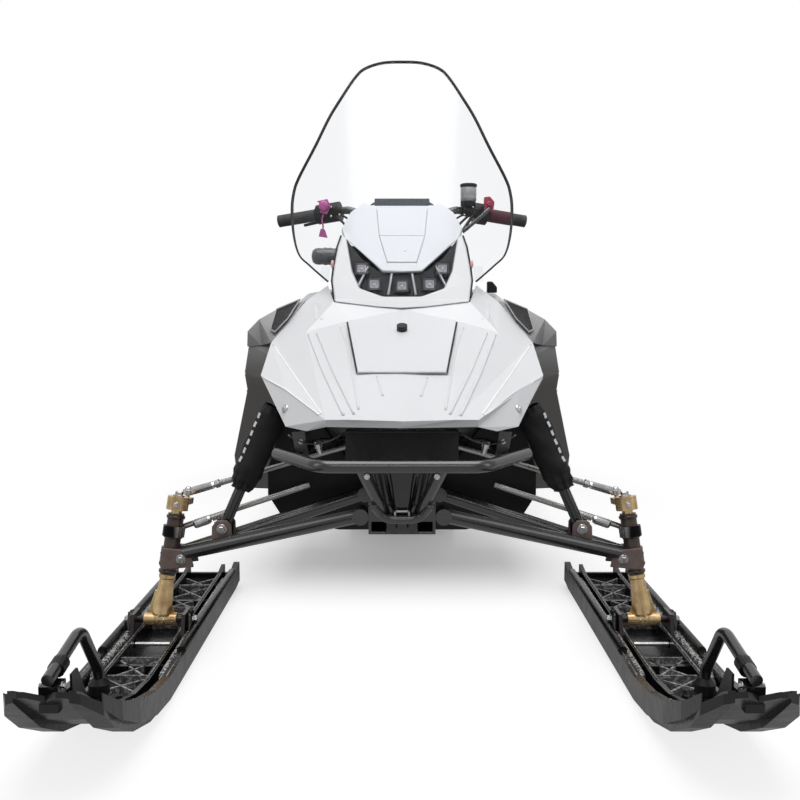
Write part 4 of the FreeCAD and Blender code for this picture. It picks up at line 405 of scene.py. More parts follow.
class Kit:
    """Collects the solids of one piece. The end of its block makes the piece, which rides one body. It is shaded
    smooth, unless it is bevelled or flat."""

    def __init__(self, name, slot, body="chassis", look=None, bevel=0, flat=False, both=False):
        self.name, self.slot, self.body, self.look = name, slot, body, look_of(look or slot)
        self.bevel, self.smooth, self.both = bevel, not (bevel or flat), both
        self.bm = bmesh.new()

    def __enter__(self):
        return self

    def __exit__(self, failure, *_):
        if not failure:
            self.done()

    def ring(self, points):
        return [self.bm.verts.new(p) for p in points]

    def skin(self, rings, closed=False):
        """Faces from ring to ring, with the two ends capped or joined."""
        for a, b in zip(rings, rings[1:] + rings[:1] if closed else rings[1:]):
            for k in range(len(a)):
                self.bm.faces.new((a[k - 1], a[k], b[k], b[k - 1]))
        if not closed:
            self.bm.faces.new(rings[0][::-1])
            self.bm.faces.new(rings[-1])

    def sheet(self, rows):
        """An open surface through rows of places."""
        rows = [self.ring(row) for row in rows]
        for a, b in zip(rows, rows[1:]):
            for k in range(len(a) - 1):
                self.bm.faces.new((a[k], a[k + 1], b[k + 1], b[k]))

    def lathe(self, origin, axis, profile, count=20):
        """Rings of (radius, distance along the axis), closed at both ends."""
        side, up = across(axis)
        axis = axis.normalized()
        self.skin([self.ring(circle(origin + axis * (high / 1000), side, up, max(radius, 0.05), count))
                   for radius, high in profile])

    def prism(self, points, depth):
        """A flat outline pushed along a vector."""
        self.skin([self.ring(points), self.ring([p + depth for p in points])])

    def tube(self, points, radius, count=12, closed=False):
        """A round bar through a list of places, with one radius or one per place."""
        radii = radius if isinstance(radius, list) else [radius] * len(points)
        rings = []
        for k, place in enumerate(points):
            before = points[k - 1] if k or closed else points[0]
            after = points[(k + 1) % len(points)] if k < len(points) - 1 or closed else points[-1]
            along = (after - before).normalized()
            if rings:
                side = (side - along * side.dot(along)).normalized()
                up = along.cross(side).normalized()
            else:
                side, up = across(along)
            rings.append(self.ring(circle(place, side, up, radii[k], count)))
        self.skin(rings, closed)

    def strip(self, points, normals, wide, high):
        """A low ridge along places on a surface, with a rounded top."""
        if isinstance(normals, Vector):
            normals = [normals] * len(points)
        rows = []
        for k, (place, normal) in enumerate(zip(points, normals)):
            before, after = points[max(0, k - 1)], points[min(len(points) - 1, k + 1)]
            side = normal.cross((after - before).normalized()).normalized()
            rows.append(self.ring([place + side * (wide * out / 1000) + normal * (high * up / 1000) for out, up in (
                (-0.5, -0.25), (-0.42, 0.55), (-0.2, 1), (0.2, 1), (0.42, 0.55), (0.5, -0.25))]))
        self.skin(rows)

    def ridge(self, label, places, steps, wide, high):
        """A strip along a polyline in plan, dropped on a node."""
        self.strip(*run(label, places, steps), wide, high)

    def ridges(self, label, places, steps, wide, high):
        """The same on both sides, since a node's faces needn't match across the middle plane."""
        for side in SIDES:
            self.ridge(label, [(side * x, y) for x, y in places], steps, wide, high)

    def bolt(self, place, axis, radius, high=None):
        """A hexagon head on a washer."""
        high = high or radius * 0.7
        self.lathe(place, axis, [(radius * 1.35, 0), (radius * 1.4, high * 0.12), (radius * 1.3, high * 0.28)])
        start = place + axis.normalized() * (high * 0.28 / 1000)
        self.lathe(start, axis, [(radius, 0), (radius, high * 0.8), (radius * 0.85, high)], 6)

    def domed(self, place, axis, radius, high):
        self.lathe(place, axis, [(radius, 0), (radius, high * 0.35), (radius * 0.85, high * 0.75),
                                 (radius * 0.5, high * 0.95), (radius * 0.1, high)], 18)

    def threads(self, start, along, radius, count, pitch, deep, segments):
        """Narrow rings in a row."""
        for k in range(count):
            spot = start + along * (k * pitch / 1000)
            self.tube([spot, spot + along * (deep / 1000)], radius, segments)

    def flip(self):
        """Over to the other side of the middle plane."""
        for vert in self.bm.verts:
            vert.co.x = -vert.co.x

    def mirror(self):
        """Add the same solids on the other side of the middle plane."""
        made = bmesh.ops.duplicate(self.bm, geom=self.bm.verts[:] + self.bm.edges[:] + self.bm.faces[:])["geom"]
        for vert in (part for part in made if isinstance(part, bmesh.types.BMVert)):
            vert.co.x = -vert.co.x
        bmesh.ops.reverse_faces(self.bm, faces=[part for part in made if isinstance(part, bmesh.types.BMFace)])

    def done(self):
        if self.both:
            self.mirror()
        bmesh.ops.recalc_face_normals(self.bm, faces=self.bm.faces[:])
        mesh = bpy.data.meshes.new(self.name)
        self.bm.to_mesh(mesh)
        self.bm.free()
        piece = self.piece = bpy.data.objects.new(self.name, mesh)
        bpy.context.collection.objects.link(piece)
        if self.bevel:
            round_edges(piece, self.bevel)
        for polygon in mesh.polygons:
            polygon.use_smooth = self.smooth
        mesh.materials.append(self.look)
        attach(piece, self.body)


def two_kits(name, slot, body, **how):
    """A kit for the left and one for the right, each on its own body. Both are filled as if on the left."""
    for side in ("left", "right"):
        with Kit(f"{name}_{side}", slot, f"{body}_{side}", **how) as kit:
            yield kit
            if side == "right":
                kit.flip()


def run(label, places, steps):
    """Places and normals along a polyline in plan, dropped on a node."""
    found = []
    for (x0, y0), (x1, y1) in zip(places, places[1:]):
        found += [drop(label, lerp(x0, x1, k / steps), lerp(y0, y1, k / steps)) for k in range(steps)]
    found.append(drop(label, *places[-1]))
    return [p for p, _ in found], [n for _, n in found]


# Hood: hatch seams, ribs, painted highlight lines along the creases, and bolts

HATCH = [(-92.1, -85.7), (-125.9, 144.2), (125.9, 144.2), (92.1, -85.7)]
HATCH_EDGES = list(zip(HATCH, HATCH[1:] + HATCH[:1]))
HATCH_MIDDLE, SEAM_GROWTH, SEAM_DEPTH = 29, 1.018, 0.0048


def hatch_seam(kit, edges, width):
    """Strips just outside the lid's edges and below its face."""
    middle = at(0, HATCH_MIDDLE, 0).y
    for ends in edges:
        points, normals = run("hatch_lid", [(x * 0.995, lerp(y, HATCH_MIDDLE, 0.005)) for x, y in ends], 3)
        kit.strip([Vector((p.x * SEAM_GROWTH, lerp(middle, p.y, SEAM_GROWTH), p.z - SEAM_DEPTH)) for p in points],
                  normals, width, 1.2)


with Kit("hatch_seam", "black_plastic", flat=True) as kit:
    hatch_seam(kit, HATCH_EDGES[::2], 4.2)
with Kit("hatch_front_seam", "black_plastic", look="seam_shadow", flat=True) as kit:
    hatch_seam(kit, HATCH_EDGES[3:], 3.4)
with Kit("hatch_rear_seam", "black_plastic", look="seam_shadow") as kit:
    kit.ridge("hood", [(-127, 151.5), (0, 152), (127, 151.5)], 8, 7, 1)
with Kit("hood_ribs", "white_panel") as kit:
    for places in ([(51.7, -98), (38, -172)], [(142, 140), (120, 40), (84, -222)]):
        kit.ridges("hood", places, 10, 6, 1.6)
    for shift in (-10, 10):
        kit.ridges("hood", [(206 + shift, 132), (158 + shift, -50), (102 + shift, -238)], 12, 6, 3.4)
# Low strips along the hood's creases in a whiter paint than the hood: painted highlight lines
with Kit("hood_creases", "white_panel", look="crease_highlight_white") as kit:
    for places in ([(302, 156), (226, -42), (156, -220)], [(304, 4), (241, -93), (160, -222)]):
        kit.ridges("hood", places, 14, 5, 1.4)
with Kit("hood_bolts", "bright_steel", bevel=0.4, both=True) as kit:
    place, normal = drop("hood", 238, -128)
    kit.domed(place, normal, 9, 5)
    kit.lathe(place + normal * 0.004, normal, [(4.2, 0), (4.2, 2.2), (3.4, 2.8)], 6)

# Lamps. Places on the pod are shares of its half width and its height, and a depth

POD_HALF, POD_HIGH, POD_LEAN = 172, 268, 0.6
POD_OUT = Vector((0, -1, POD_LEAN)).normalized()
EYES = [(0.58, 0.36), (0.395, 0.215), (0, 0.2), (-0.395, 0.215), (-0.58, 0.36)]


def pod_place(u, v, back):
    rise = POD_HIGH * v
    return at(POD_HALF * u, 209 + rise * POD_LEAN + back, 768 + rise)


def square(centre, half_wide, half_high, back):
    return [pod_place(centre[0] + a * half_wide / POD_HALF, centre[1] + b * half_high / POD_HIGH, back)
            for a, b in CORNERS]


with Kit("lamp_bezels", "lamp_inside", look="lamp_bezel", bevel=0.8) as kit:
    for centre in EYES:
        outer, inner = square(centre, 16, 14.5, 23), square(centre, 11.5, 10.2, 23)
        for k in range(4):
            kit.prism([outer[k - 1], outer[k], inner[k], inner[k - 1]], FRONT * 0.005)
with Kit("lamp_glass", "clear_lens", look="lamp_crystal", bevel=1.6) as kit:
    for centre in EYES:
        kit.prism(square(centre, 11.2, 9.9, 20.5), FRONT * 0.0025)
with Kit("lamp_cells", "white_panel", look="lamp_diode") as kit:
    for u, v in EYES:
        kit.tube(square((u, v), 9.6, 8.4, 17.8), 0.8, 6, closed=True)
        kit.domed(pod_place(u, v, 18.4), POD_OUT, 3, 2)
        for shift in (-0.03, 0.03):
            kit.domed(pod_place(u + shift, v - 0.018, 18), POD_OUT, 1.8, 1)
with Kit("lamp_fins", "white_panel", look="lamp_fin", both=True) as kit:
    for low, high in (((0.195, 0.12), (0.145, 0.31)), ((0.66, 0.15), (0.49, 0.375))):
        kit.strip([pod_place(lerp(low[0], high[0], k / 6), lerp(low[1], high[1], k / 6),
                             25 + 3 * math.cos(k / 6 * math.pi)) for k in range(7)], POD_OUT, 6.4, 4)
with Kit("lamp_ridges", "lamp_inside") as kit:
    for centre in EYES:
        for half, back in ((17, 33), (20, 31.8)):
            kit.tube(square(centre, half, half * 0.86, back), 1.1, 6, closed=True)
with Kit("lamp_brows", "black_plastic", both=True, flat=True) as kit:
    kit.prism([at(x, 352, z) for x, z in ((-150, 924), (-117, 924), (-98, 905), (-78, 891), (-60, 870), (-48, 858),
                                          (-66, 850), (-102, 874), (-128, 898), (-141, 914))], REAR * 0.006)

# Trim of the lamp pod, hood, windshield and cowl

SKIRT = [(0.94, 0.056), (0.66, 0.034), (0.34, 0.01), (0, -0.002), (-0.34, 0.01), (-0.66, 0.034), (-0.94, 0.056)]
with Kit("pod_skirt", "white_panel", bevel=2) as kit:
    kit.prism([pod_place(u, v, -1.2) for u, v in SKIRT + [(-0.93, 0.075), (0.93, 0.075)]], REAR * 0.010)
with Kit("pod_lip", "black_plastic", look="seam_shadow") as kit:
    kit.tube([pod_place(u, v - 0.012, 5) for u, v in SKIRT], 2.2, 8)
with Kit("pod_sides", "black_plastic", both=True) as kit:
    kit.tube([pod_place(u, v, 14) for u, v in (
        (0.955, 0.09), (0.995, 0.245), (0.978, 0.385), (0.938, 0.56), (0.886, 0.67))], 3.2, 8)
with Kit("hood_pads", "white_panel", bevel=0.7) as kit:
    for side in SIDES:
        corners = [drop("hood", side * x, y) for x, y in ((215, 258), (192, 236), (188, 178), (206, 184))]
        kit.prism([place + normal * 0.0001 for place, normal in corners], corners[0][1] * 0.0016)

SHIELD_HALF, SHIELD_HIGH, SHIELD_LEAN, SHIELD_BOW = 290, 612, 0.6, 448.8
BEAD = [(0.19, 1), (0.352, 0.975), (0.445, 0.931), (0.576, 0.83), (0.683, 0.739), (0.803, 0.611), (0.952, 0.467),
        (0.994, 0.399), (1, 0.32), (0.966, 0.206), (0.903, 0.121), (0.8, 0.074), (0.7, 0.034), (0.628, 0.006)]


def shield_place(u, v):
    """A place on the windshield, from shares of its half width and its height."""
    x, rise = SHIELD_HALF * u, SHIELD_HIGH * v
    bow = SHIELD_BOW - math.sqrt(SHIELD_BOW ** 2 - x * x)
    return at(x, 243 + SHIELD_LEAN * rise + bow, 831 + rise)


with Kit("shield_bead", "black_plastic") as kit:
    half = [shield_place(u * 1.006, v - 0.003) for u, v in BEAD]
    path = curve_through(half[::-1] + [shield_place(0, 1.001)] + [Vector((-p.x, p.y, p.z)) for p in half], 6)
    kit.tube(path, [2.4 + 1.7 * min(1, max(0, (p.z - 0.90) / 0.12)) for p in path], 10)
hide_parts("windshield_trim")
with Kit("pod_clips", "red_lens", look="clip_pink", both=True) as kit:
    place = pod_place(0.985, 0.36, 16)
    kit.tube([place, place + offset(3, 0, 10), place + offset(1.5, 0, 20)], [3.4, 4.2, 3], 8)

COWL_OUT = Vector((0, -1, 1)).normalized()


def cowl_place(x, up, lift):
    return at(x, 283 + up, 858 + up) + COWL_OUT * (lift / 1000)


with Kit("cowl_panel", "white_panel", bevel=1.6) as kit:
    kit.prism([cowl_place(x, up, 0.3) for x, up in (
        (-36, 22), (36, 22), (58, 92), (66, 166), (-66, 166), (-58, 92))], COWL_OUT * 0.0024)
with Kit("cowl_seams", "black_plastic", look="seam_shadow", flat=True) as kit:
    for x0, up0, x1, up1, lift in [(side * a, b, side * c, d, 0.4) for side in SIDES for a, b, c, d in (
            (36, 20, 58, 92), (58, 92, 67, 168))] + [(-58.5, 92, 58.5, 92, 2.6)]:
        kit.strip([cowl_place(lerp(x0, x1, k / 4), lerp(up0, up1, k / 4), lift) for k in range(5)], COWL_OUT, 1.6, 0.7)
with Kit("dash_hood", "black_plastic", look="dash_blue") as kit:
    kit.tube(line((-88, 566, 1049), (-74, 566, 1055), (-50, 566, 1059), (0, 566, 1061), (50, 566, 1059),
                  (74, 566, 1055), (88, 566, 1049)), [1.5, 4.5, 6, 6.5, 6, 4.5, 1.5])
with Kit("recoil_grip", "black_plastic", look="handle_grey") as kit:
    kit.lathe(at(-242, 480, 905), LEFT, [(6, 0), (16, 3), (21, 10), (22.5, 20), (21.5, 30), (24, 36), (22, 44),
                                         (23.5, 50), (21, 58), (22, 66), (16, 76), (8, 80)], 26)
with Kit("cowl_screw", "bright_steel") as kit:
    kit.domed(cowl_place(6, 52, 2.7), COWL_OUT, 3.6, 1.8)
with Kit("dash_gauge", "black_plastic", look="gauge_glass", bevel=1.2) as kit:
    for half, deep, start in ((62, 5, 0), (54, 2.2, 5)):
        kit.prism([at(a * half, 575 + start, 1018 + b * half * 0.42) for a, b in CORNERS], REAR * (deep / 1000))

# Front: cover between the bumper's legs, mesh, brackets

with Kit("nose_cover", "black_plastic", look="gloss_black") as kit:
    rows = []
    for share in (k / 12 for k in range(13)):
        half = lerp(74, 34, min(1, share * 1.25))
        y = lerp(-184, -186, share) + 10 * max(0, share - 0.75) / 0.25
        row = []
        for x in (lerp(-half, half, j / 24) for j in range(25)):
            groove = 11 / (1 + math.exp((abs(abs(x) - half * 0.55) - 8) / 1.2))
            groove *= 1 - max(0, share - 0.72) / 0.28
            row.append(at(x, y + groove + 8 * (abs(x) / half) ** 6, lerp(452, 314, share)))
        rows.append(row)
    kit.sheet(rows)
modify(kit.piece, "SOLIDIFY", thickness=0.003, offset=-1)
with Kit("nose_strip", "black_frame", look="rod_steel") as kit:
    bows = [math.cos((k - 4) / 4 * 1.5) for k in range(9)]
    kit.strip([at(18 * k - 72, -186 - 2 * bow, 454 - 3 * bow) for k, bow in enumerate(bows)],
              Vector((0, -1, 0.3)).normalized(), 7, 3)
    kit.strip([at(x, -197, 366) for x in (-16, -8, 0, 8, 16)], Vector((0, -1, 0.2)).normalized(), 6, 3)
    for side in SIDES:
        kit.strip([at(side * 14, -197, z) for z in (366, 360, 352)], FRONT, 6, 3)
with Kit("bumper_bend", "black_frame") as kit:
    kit.tube(curve_through(line((-58, -218, 384), (-47, -205, 368), (-38, -199, 356), (-22, -196, 350), (0, -196, 349),
                                (22, -196, 350), (38, -199, 356), (47, -205, 368), (58, -218, 384)), 4), 9, 16)
with Kit("grille_wires", "black_frame", look="wire_coat", flat=True) as kit:
    low, high, reach = 461, 525, 110
    for x in range(-220, 221, 5):
        for slope in (0.6, -0.6):
            end = x + slope * (high - low)
            if min(x, end) > -reach and max(x, end) < reach:
                kit.tube(line((x, -194.6, low), (end, -194.6, high)), 0.6, 4)
    for z in (460.5, 526):
        kit.tube(line((-112, -195.4, z), (112, -195.4, z)), 2.6, 8)
with Kit("liner_lips", "black_plastic", look="gloss_black", both=True) as kit:
    lip = line((116, -206, 526), (150, -204, 508), (190, -176, 500), (232, -136, 512))
    kit.sheet([curve_through(places, 4) for places in (lip, [p + offset(0, 100, -14) for p in lip])])
modify(kit.piece, "SOLIDIFY", thickness=0.003)
with Kit("front_stubs", "bright_steel", bevel=0.4, both=True) as kit:
    kit.lathe(at(168, -120, 470), Vector((0.25, -0.3, 1)), [(6, 0), (6, 14), (9, 15), (9, 24), (5, 28)], 16)
with Kit("front_brackets", "black_frame", bevel=1, both=True) as kit:
    kit.prism(line((188, -158, 470), (214, -158, 470), (222, -158, 520), (196, -158, 523)), REAR * 0.006)
    kit.tube(line((205, -158, 476), (180, -60, 486), (120, 32, 476)), 7, 10)
with Kit("front_bracket_bolts", "bright_steel", bevel=0.3, both=True) as kit:
    kit.bolt(at(204, -158.5, 500), FRONT, 3.6)
    kit.bolt(at(66, -282, 452), Vector((0, -1, 0.2)), 4)
with Kit("bulkhead_ribs", "black_plastic", bevel=0.8, both=True) as kit:
    for x0, z0, x1, z1, wide in ((120, 404, 205, 520, 8), (258, 400, 244, 518, 8), (160, 404, 296, 404, 8),
                                 (180, 460, 262, 452, 6)):
        kit.strip([at(lerp(x0, x1, k / 3), 128, lerp(z0, z1, k / 3)) for k in range(4)], FRONT, wide, 7)
    kit.lathe(at(230, 128.4, 486), FRONT, [(13, 0), (13, 5), (9, 6)], 18)

# Suspension hardware

SKI_X = 540
SKI_BOLT = at(SKI_X, 0, 75)
LEAN = Vector((-39, 40, 283)).normalized()
SHOCK_FOOT, SHOCK_HEAD = line((396, 8.5, 284), (262, 16.7, 588))
SHOCK_ALONG = (SHOCK_HEAD - SHOCK_FOOT).normalized()


def spindle(along):
    """A place on a ski leg's leaning axis, above the ski bolt."""
    return SKI_BOLT + LEAN * (along / 1000)


ARM_END = spindle(142)
with Kit("arm_clevises", "brown_frame", look="mocha_coat", bevel=1.4, both=True) as kit:
    for joint, places, deep, outline in (
            (ARM_END, (-27, 21), 0.006, [(-58, -19), (14, -25), (20, -8), (11, 2), (16, 14), (8, 24), (-50, 18)]),
            (SHOCK_FOOT, (-26, 20.5), 0.0055, [(-22, -44), (24, -38), (22, 6), (12, 19), (-12, 19), (-21, 8)])):
        for y in places:
            kit.prism([joint + offset(x, y, z) for x, z in outline], REAR * deep)
with Kit("arm_bolts", "bright_steel", bevel=0.4, both=True) as kit:
    kit.bolt(ARM_END + offset(-30, -27, -1), FRONT, 8, 7)
    kit.bolt(SHOCK_FOOT + offset(0, -26, 0), FRONT, 8.5, 7)
    kit.bolt(at(262, 3, 588), FRONT, 8, 6)
with Kit("housing_bands", "brown_frame", both=True) as kit:
    for start in (104, 182, 226):
        kit.lathe(spindle(start), LEAN, [(18.4, 0), (20.6, 1), (20.6, 7), (18.4, 8)], 24)
with Kit("radius_boots", "black_plastic", both=True) as kit:
    kit.lathe(spindle(186), LEAN, [(20.5, 0), (24.5, 2), (22.6, 6), (24.5, 10), (22.6, 14), (24.5, 18), (20.5, 24)],
              26)
with Kit("radius_joints", "bright_steel", bevel=0.4, both=True) as kit:
    start = spindle(198) + offset(-12, 18, 0)
    along = (at(213, 84, 363) - start).normalized()
    kit.tube([start + along * s for s in (0.030, 0.034, 0.064, 0.070)], [8, 10.5, 10.5, 8.2], 14)
    kit.threads(start + along * 0.074, along, 8, 9, 3.5, 1.8, 12)
    kit.lathe(start + along * 0.106, along, [(10, 0), (10, 8)], 6)

for kit in two_kits("tie_rod_end", "bright_steel", "tie", bevel=0.5):
    eye = spindle(280) + LEAN.cross(LEFT).normalized() * 0.084
    along = (at(24, 88.8, 480.8) - eye).normalized()
    kit.lathe(eye - LEAN * 0.0066, LEAN, [(9, 0), (12.5, 1.5), (12.5, 11.7), (9, 13.2)], 22)
    kit.lathe(eye + LEAN * 0.0066, LEAN, [(8, 0), (8, 3), (5, 6), (1, 7.4)], 18)
    kit.tube([eye + along * s for s in (0.010, 0.014, 0.062, 0.068)], [8, 9.6, 9, 7], 14)
    kit.lathe(eye + along * 0.070, along, [(10.6, 0), (10.6, 9)], 6)
    kit.threads(eye + along * 0.083, along, 7.4, 8, 3.4, 1.7, 10)
for kit in two_kits("leg_fittings", "gold_metal", "leg", bevel=0.6):
    kit.lathe(SKI_BOLT + FRONT * 0.0175, REAR, [(4, 0), (9, 1.6), (13.5, 6), (15.4, 12), (16, 17.5), (15.4, 23),
                                                (13.5, 29), (9, 33.4), (4, 35)], 22)
    for side in SIDES:
        kit.prism([SKI_BOLT + offset(side * x, z / 16.5, z) for x, z in (
            (33, 4), (12, 66), (6, 62), (16, 4))], REAR * 0.005)
    kit.lathe(spindle(96), LEAN, [(15.8, -6), (17.6, -3), (17.6, 3), (16.2, 5.4)], 24)
for kit in two_kits("leg_top_nut", "bright_steel", "leg", bevel=0.4):
    kit.lathe(spindle(276), LEAN, [(13, 0), (13, 3), (9, 3.4), (9, 10), (7, 11.5)], 6)
    kit.bolt(spindle(262) + offset(-2, -24.5, 0), FRONT, 5)

# Skis: braces, painted highlight lines along the rails, beads, bolts, struts, runners and the loops' fittings

# The braces are shaped; their lighter, speckled finish is painted highlight
for kit in two_kits("ski_braces", "ski_plastic", "ski", look="ski_painted_glints", bevel=0.5):
    for y0, y1 in ((-330, -250), (-250, -160), (70, 150), (150, 235), (235, 320), (320, 400)):
        rise = UP * (0.176 * 0.07 * max(0, (-y0 - 280) / 90))
        for half in (41, -41):
            a, b = at(SKI_X - half, y0, 44) + rise, at(SKI_X + half, y1, 44)
            side = (b - a).cross(UP).normalized() * 0.0022
            kit.prism([a - side, b - side, b + side, a + side], UP * -0.020)
    for y in (-250, -160, 70, 150, 320):
        kit.prism([at(SKI_X + x, y, z) for x, z in ((-41, 50), (41, 50), (41, 24.5), (-41, 24.5))], REAR * 0.003)
# Thin tubes along the rail tops, lighter than the ski: painted highlight lines
for kit in two_kits("ski_edges", "ski_plastic", "ski", look="ski_painted_glints"):
    for side in SIDES:
        kit.tube([at(SKI_X + side * 47, y, 55) for y in (-275, -100, 100, 395)], 1.3, 8)
        kit.tube([at(SKI_X + side * 84, y, 59.5) for y in (-275, -160)], 1.3, 8)
# The beads are shaped; the light specks on them are painted highlight
for kit in two_kits("ski_beads", "ski_plastic", "ski", look="ski_bead"):
    bead = [(-262, 40, 4), (-240, 46, 8.5), (-100, 48, 9), (130, 48, 9), (360, 48, 9), (382, 44, 5)]
    for side in SIDES:
        kit.tube([at(SKI_X + side * 68, y, z) for y, z, _ in bead], [radius for _, _, radius in bead], 14)
for kit in two_kits("ski_bolts", "bright_steel", "ski", bevel=0.4):
    for y, z, reach in ((-392, 60, 56), (-60, 40, 50)):
        kit.lathe(at(SKI_X - reach, y, z), LEFT, [(4.5, 0), (4.5, reach * 2)], 12)
        for side in SIDES:
            kit.bolt(at(SKI_X + side * (reach - 8), y, z), LEFT * side, 7, 7)
    for side in SIDES:
        kit.bolt(at(SKI_X + side * 72, 0, 75), LEFT * side, 8, 7)
        kit.bolt(at(SKI_X + side * 15, -612, 189), LEFT * side, 4.5, 4)
for kit in two_kits("ski_struts", "ski_plastic", "ski"):
    for places, radii in ((((0, -4, 92), (0, -10, 80), (3, -26, 40), (2, -34, 27)), [6.5, 6.5, 5.5, 8]),
                          (((0, 6, 90), (0, 14, 78), (3, 34, 42), (2, 42, 27)), [6, 6, 5, 7.5])):
        for side in SIDES:
            kit.tube([at(SKI_X + side * (66 + out), y, z) for out, y, z in places], radii)
for kit in two_kits("ski_runners", "bright_steel", "ski"):
    for x in (SKI_X - 60, SKI_X + 60):
        kit.tube(line((x, -250, 5), (x, -200, 3.4), (x, 150, 3.4), (x, 190, 5)), 3, 10)
for kit in two_kits("loop_fittings", "black_plastic", "ski", bevel=0.8):
    kit.tube([at(SKI_X, -596 + k * 6, 206.6 + k * 1.1) for k in range(5)], 14, 16)
    kit.lathe(at(SKI_X, -408, 84), UP, [(17, 0), (18.5, 2), (18.5, 20), (14, 26), (11, 30)], 22)
    for x in (SKI_X + 17, SKI_X - 21):
        kit.prism(line((x, -586, 196), (x, -560, 196), (x, -520, 130), (x, -586, 150)), LEFT * 0.004)

# Shock covers: gathered sleeves with a plain broken line along the outer side

SLEEVE_START, SLEEVE_END, SLEEVE_ROWS, SLEEVE_COUNT = 94, 292, 40, 64
SLEEVE_SEEDS = {"left": 0.7, "right": 2.1}
SHOCK_SIDE, SHOCK_UP = across(SHOCK_ALONG)


def sleeve_middle(share):
    return SHOCK_FOOT + SHOCK_ALONG * (lerp(SLEEVE_START, SLEEVE_END, share) / 1000)


def sleeve_radius(share, turn, seed):
    """Radius in millimetres at a height share and an angle: full in the middle, gathered at the ends."""
    low, high = max(0, 1 - share / 0.28), max(0, (share - 0.9) / 0.1)
    radius = 32.5 - 12 * low ** 1.6 - 8 * high ** 1.5
    folds = 2.6 * low * math.sin(turn * 9 + 2 * share + seed) + 1.6 * low * math.sin(turn * 17 - seed)
    folds += 1.5 * high * math.sin(turn * 11 + seed)
    slack = 1.3 * math.sin(share * 21 + 2.2 * math.sin(turn * 2 + seed)) * (1 - high)
    creases = math.sin(turn * 3 + share * 9 + seed) + 2.2 * low * math.sin(share * 60 + turn * 2)
    return radius + folds + slack + creases


for side, seed in SLEEVE_SEEDS.items():
    with Kit(f"shock_sleeve_{side}", "cover_fabric") as kit:
        rings = []
        for share in (j / (SLEEVE_ROWS - 1) for j in range(SLEEVE_ROWS)):
            turns = [2 * math.pi * k / SLEEVE_COUNT for k in range(SLEEVE_COUNT)]
            rings.append(kit.ring([sleeve_middle(share) + (SHOCK_SIDE * math.cos(turn) + SHOCK_UP * math.sin(turn))
                                   * (sleeve_radius(share, turn, seed) / 1000) for turn in turns]))
        for a, b in zip(rings, rings[1:]):
            for k in range(SLEEVE_COUNT):
                kit.bm.faces.new((a[k - 1], a[k], b[k], b[k - 1]))
        if side == "right":
            kit.flip()
    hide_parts("shock_covers")
with Kit("sleeve_marks", "white_panel", both=True, flat=True) as kit:
    outward = Vector((1, -0.95, 0))
    outward = (outward - SHOCK_ALONG * outward.dot(SHOCK_ALONG)).normalized()
    middle_turn = math.atan2(outward.dot(SHOCK_UP), outward.dot(SHOCK_SIDE))
    for k in range(6):
        points = []
        for share in (0.3 + k * 0.105 + step / 3 * 0.062 for step in range(4)):
            reach = max(sleeve_radius(share, middle_turn + turn, seed)
                        for turn in (-0.15, 0, 0.15) for seed in SLEEVE_SEEDS.values())
            points.append(sleeve_middle(share) + outward * (reach / 1000 + 0.0004))
        kit.strip(points, outward, 8, 0.6)

# Handlebar: ribbed grips, brake reservoir, clip, switch and cables

BAR_IN, BAR_OUT = line((157, 690, 1050), (364, 740, 1022))
BAR_DIR = (BAR_IN - BAR_OUT).normalized()
CUP = at(191, 672, 1072)
with Kit("grip_ribs", "grip_rubber", "handlebar", both=True) as kit:
    profile = [(12, 0), (17.5, 0.8), (18.2, 3)]
    for start in (4 + k * 5 for k in range(22)):
        profile += [(17.6, start), (16.2, start + 1.4), (17.6, start + 2.8), (17.8, start + 4.2)]
    kit.lathe(BAR_OUT, BAR_DIR, profile + [(18.4, 115), (18.4, 118), (12, 118.4)], 28)
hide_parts("grips")
with Kit("reservoir_cap", "black_plastic", "handlebar", bevel=0.4) as kit:
    kit.lathe(CUP + UP * 0.040, UP, [(22.6, 0), (23.4, 1), (23.4, 8), (21, 10), (4, 10.6)], 26)
    for rib in circle(CUP + UP * 0.042, LEFT, REAR, 23.4, 16):
        kit.tube([rib, rib + UP * 0.006], 1.2, 6)
with Kit("reservoir_body", "bright_steel", "handlebar", look="frosted_cup") as kit:
    kit.lathe(CUP, UP, [(18, 0), (22.7, 2), (22.9, 12), (22.4, 14), (22.9, 16), (22.9, 38), (21, 40)], 30)
with Kit("tether_clip", "red_lens", "handlebar", look="pink_plastic", bevel=1.2) as kit:
    kit.prism(line((-244, 660, 1072), (-214, 660, 1078), (-204, 660, 1058), (-216, 660, 1034), (-236, 660, 1040),
                   (-228, 660, 1058)), REAR * 0.010)
    kit.lathe(at(-224, 659, 1058), FRONT, [(15, 0), (15, 4), (11, 7), (4, 8)])
    kit.tube(curve_through(line((-226, 662, 1034), (-230, 664, 1018), (-227, 664, 1002), (-228, 664, 992)), 4), 2.6, 8)
    kit.prism(line((-240, 661, 972), (-214, 661, 968), (-222, 661, 992), (-234, 661, 994)), REAR * 0.005)
with Kit("red_switch", "red_lens", "handlebar", look="red_plastic", bevel=2) as kit:
    kit.prism(line((236, 664, 1046), (262, 664, 1042), (266, 664, 1070), (252, 664, 1086), (236, 664, 1084)),
              REAR * 0.022)
    kit.lathe(at(250, 663, 1064), FRONT, [(8, 0), (8, 4), (5, 6)], 16)
with Kit("grip_tint", "grip_rubber", "handlebar", look="tint_rubber") as kit:
    ribs = [(19.6 - 0.9 * (k % 2), 2 + k * 2.6) for k in range(26)]
    kit.lathe(BAR_OUT + BAR_DIR * 0.046, BAR_DIR, [(17, 0), (19.4, 1)] + ribs + [(19, 70), (16, 71)], 26)
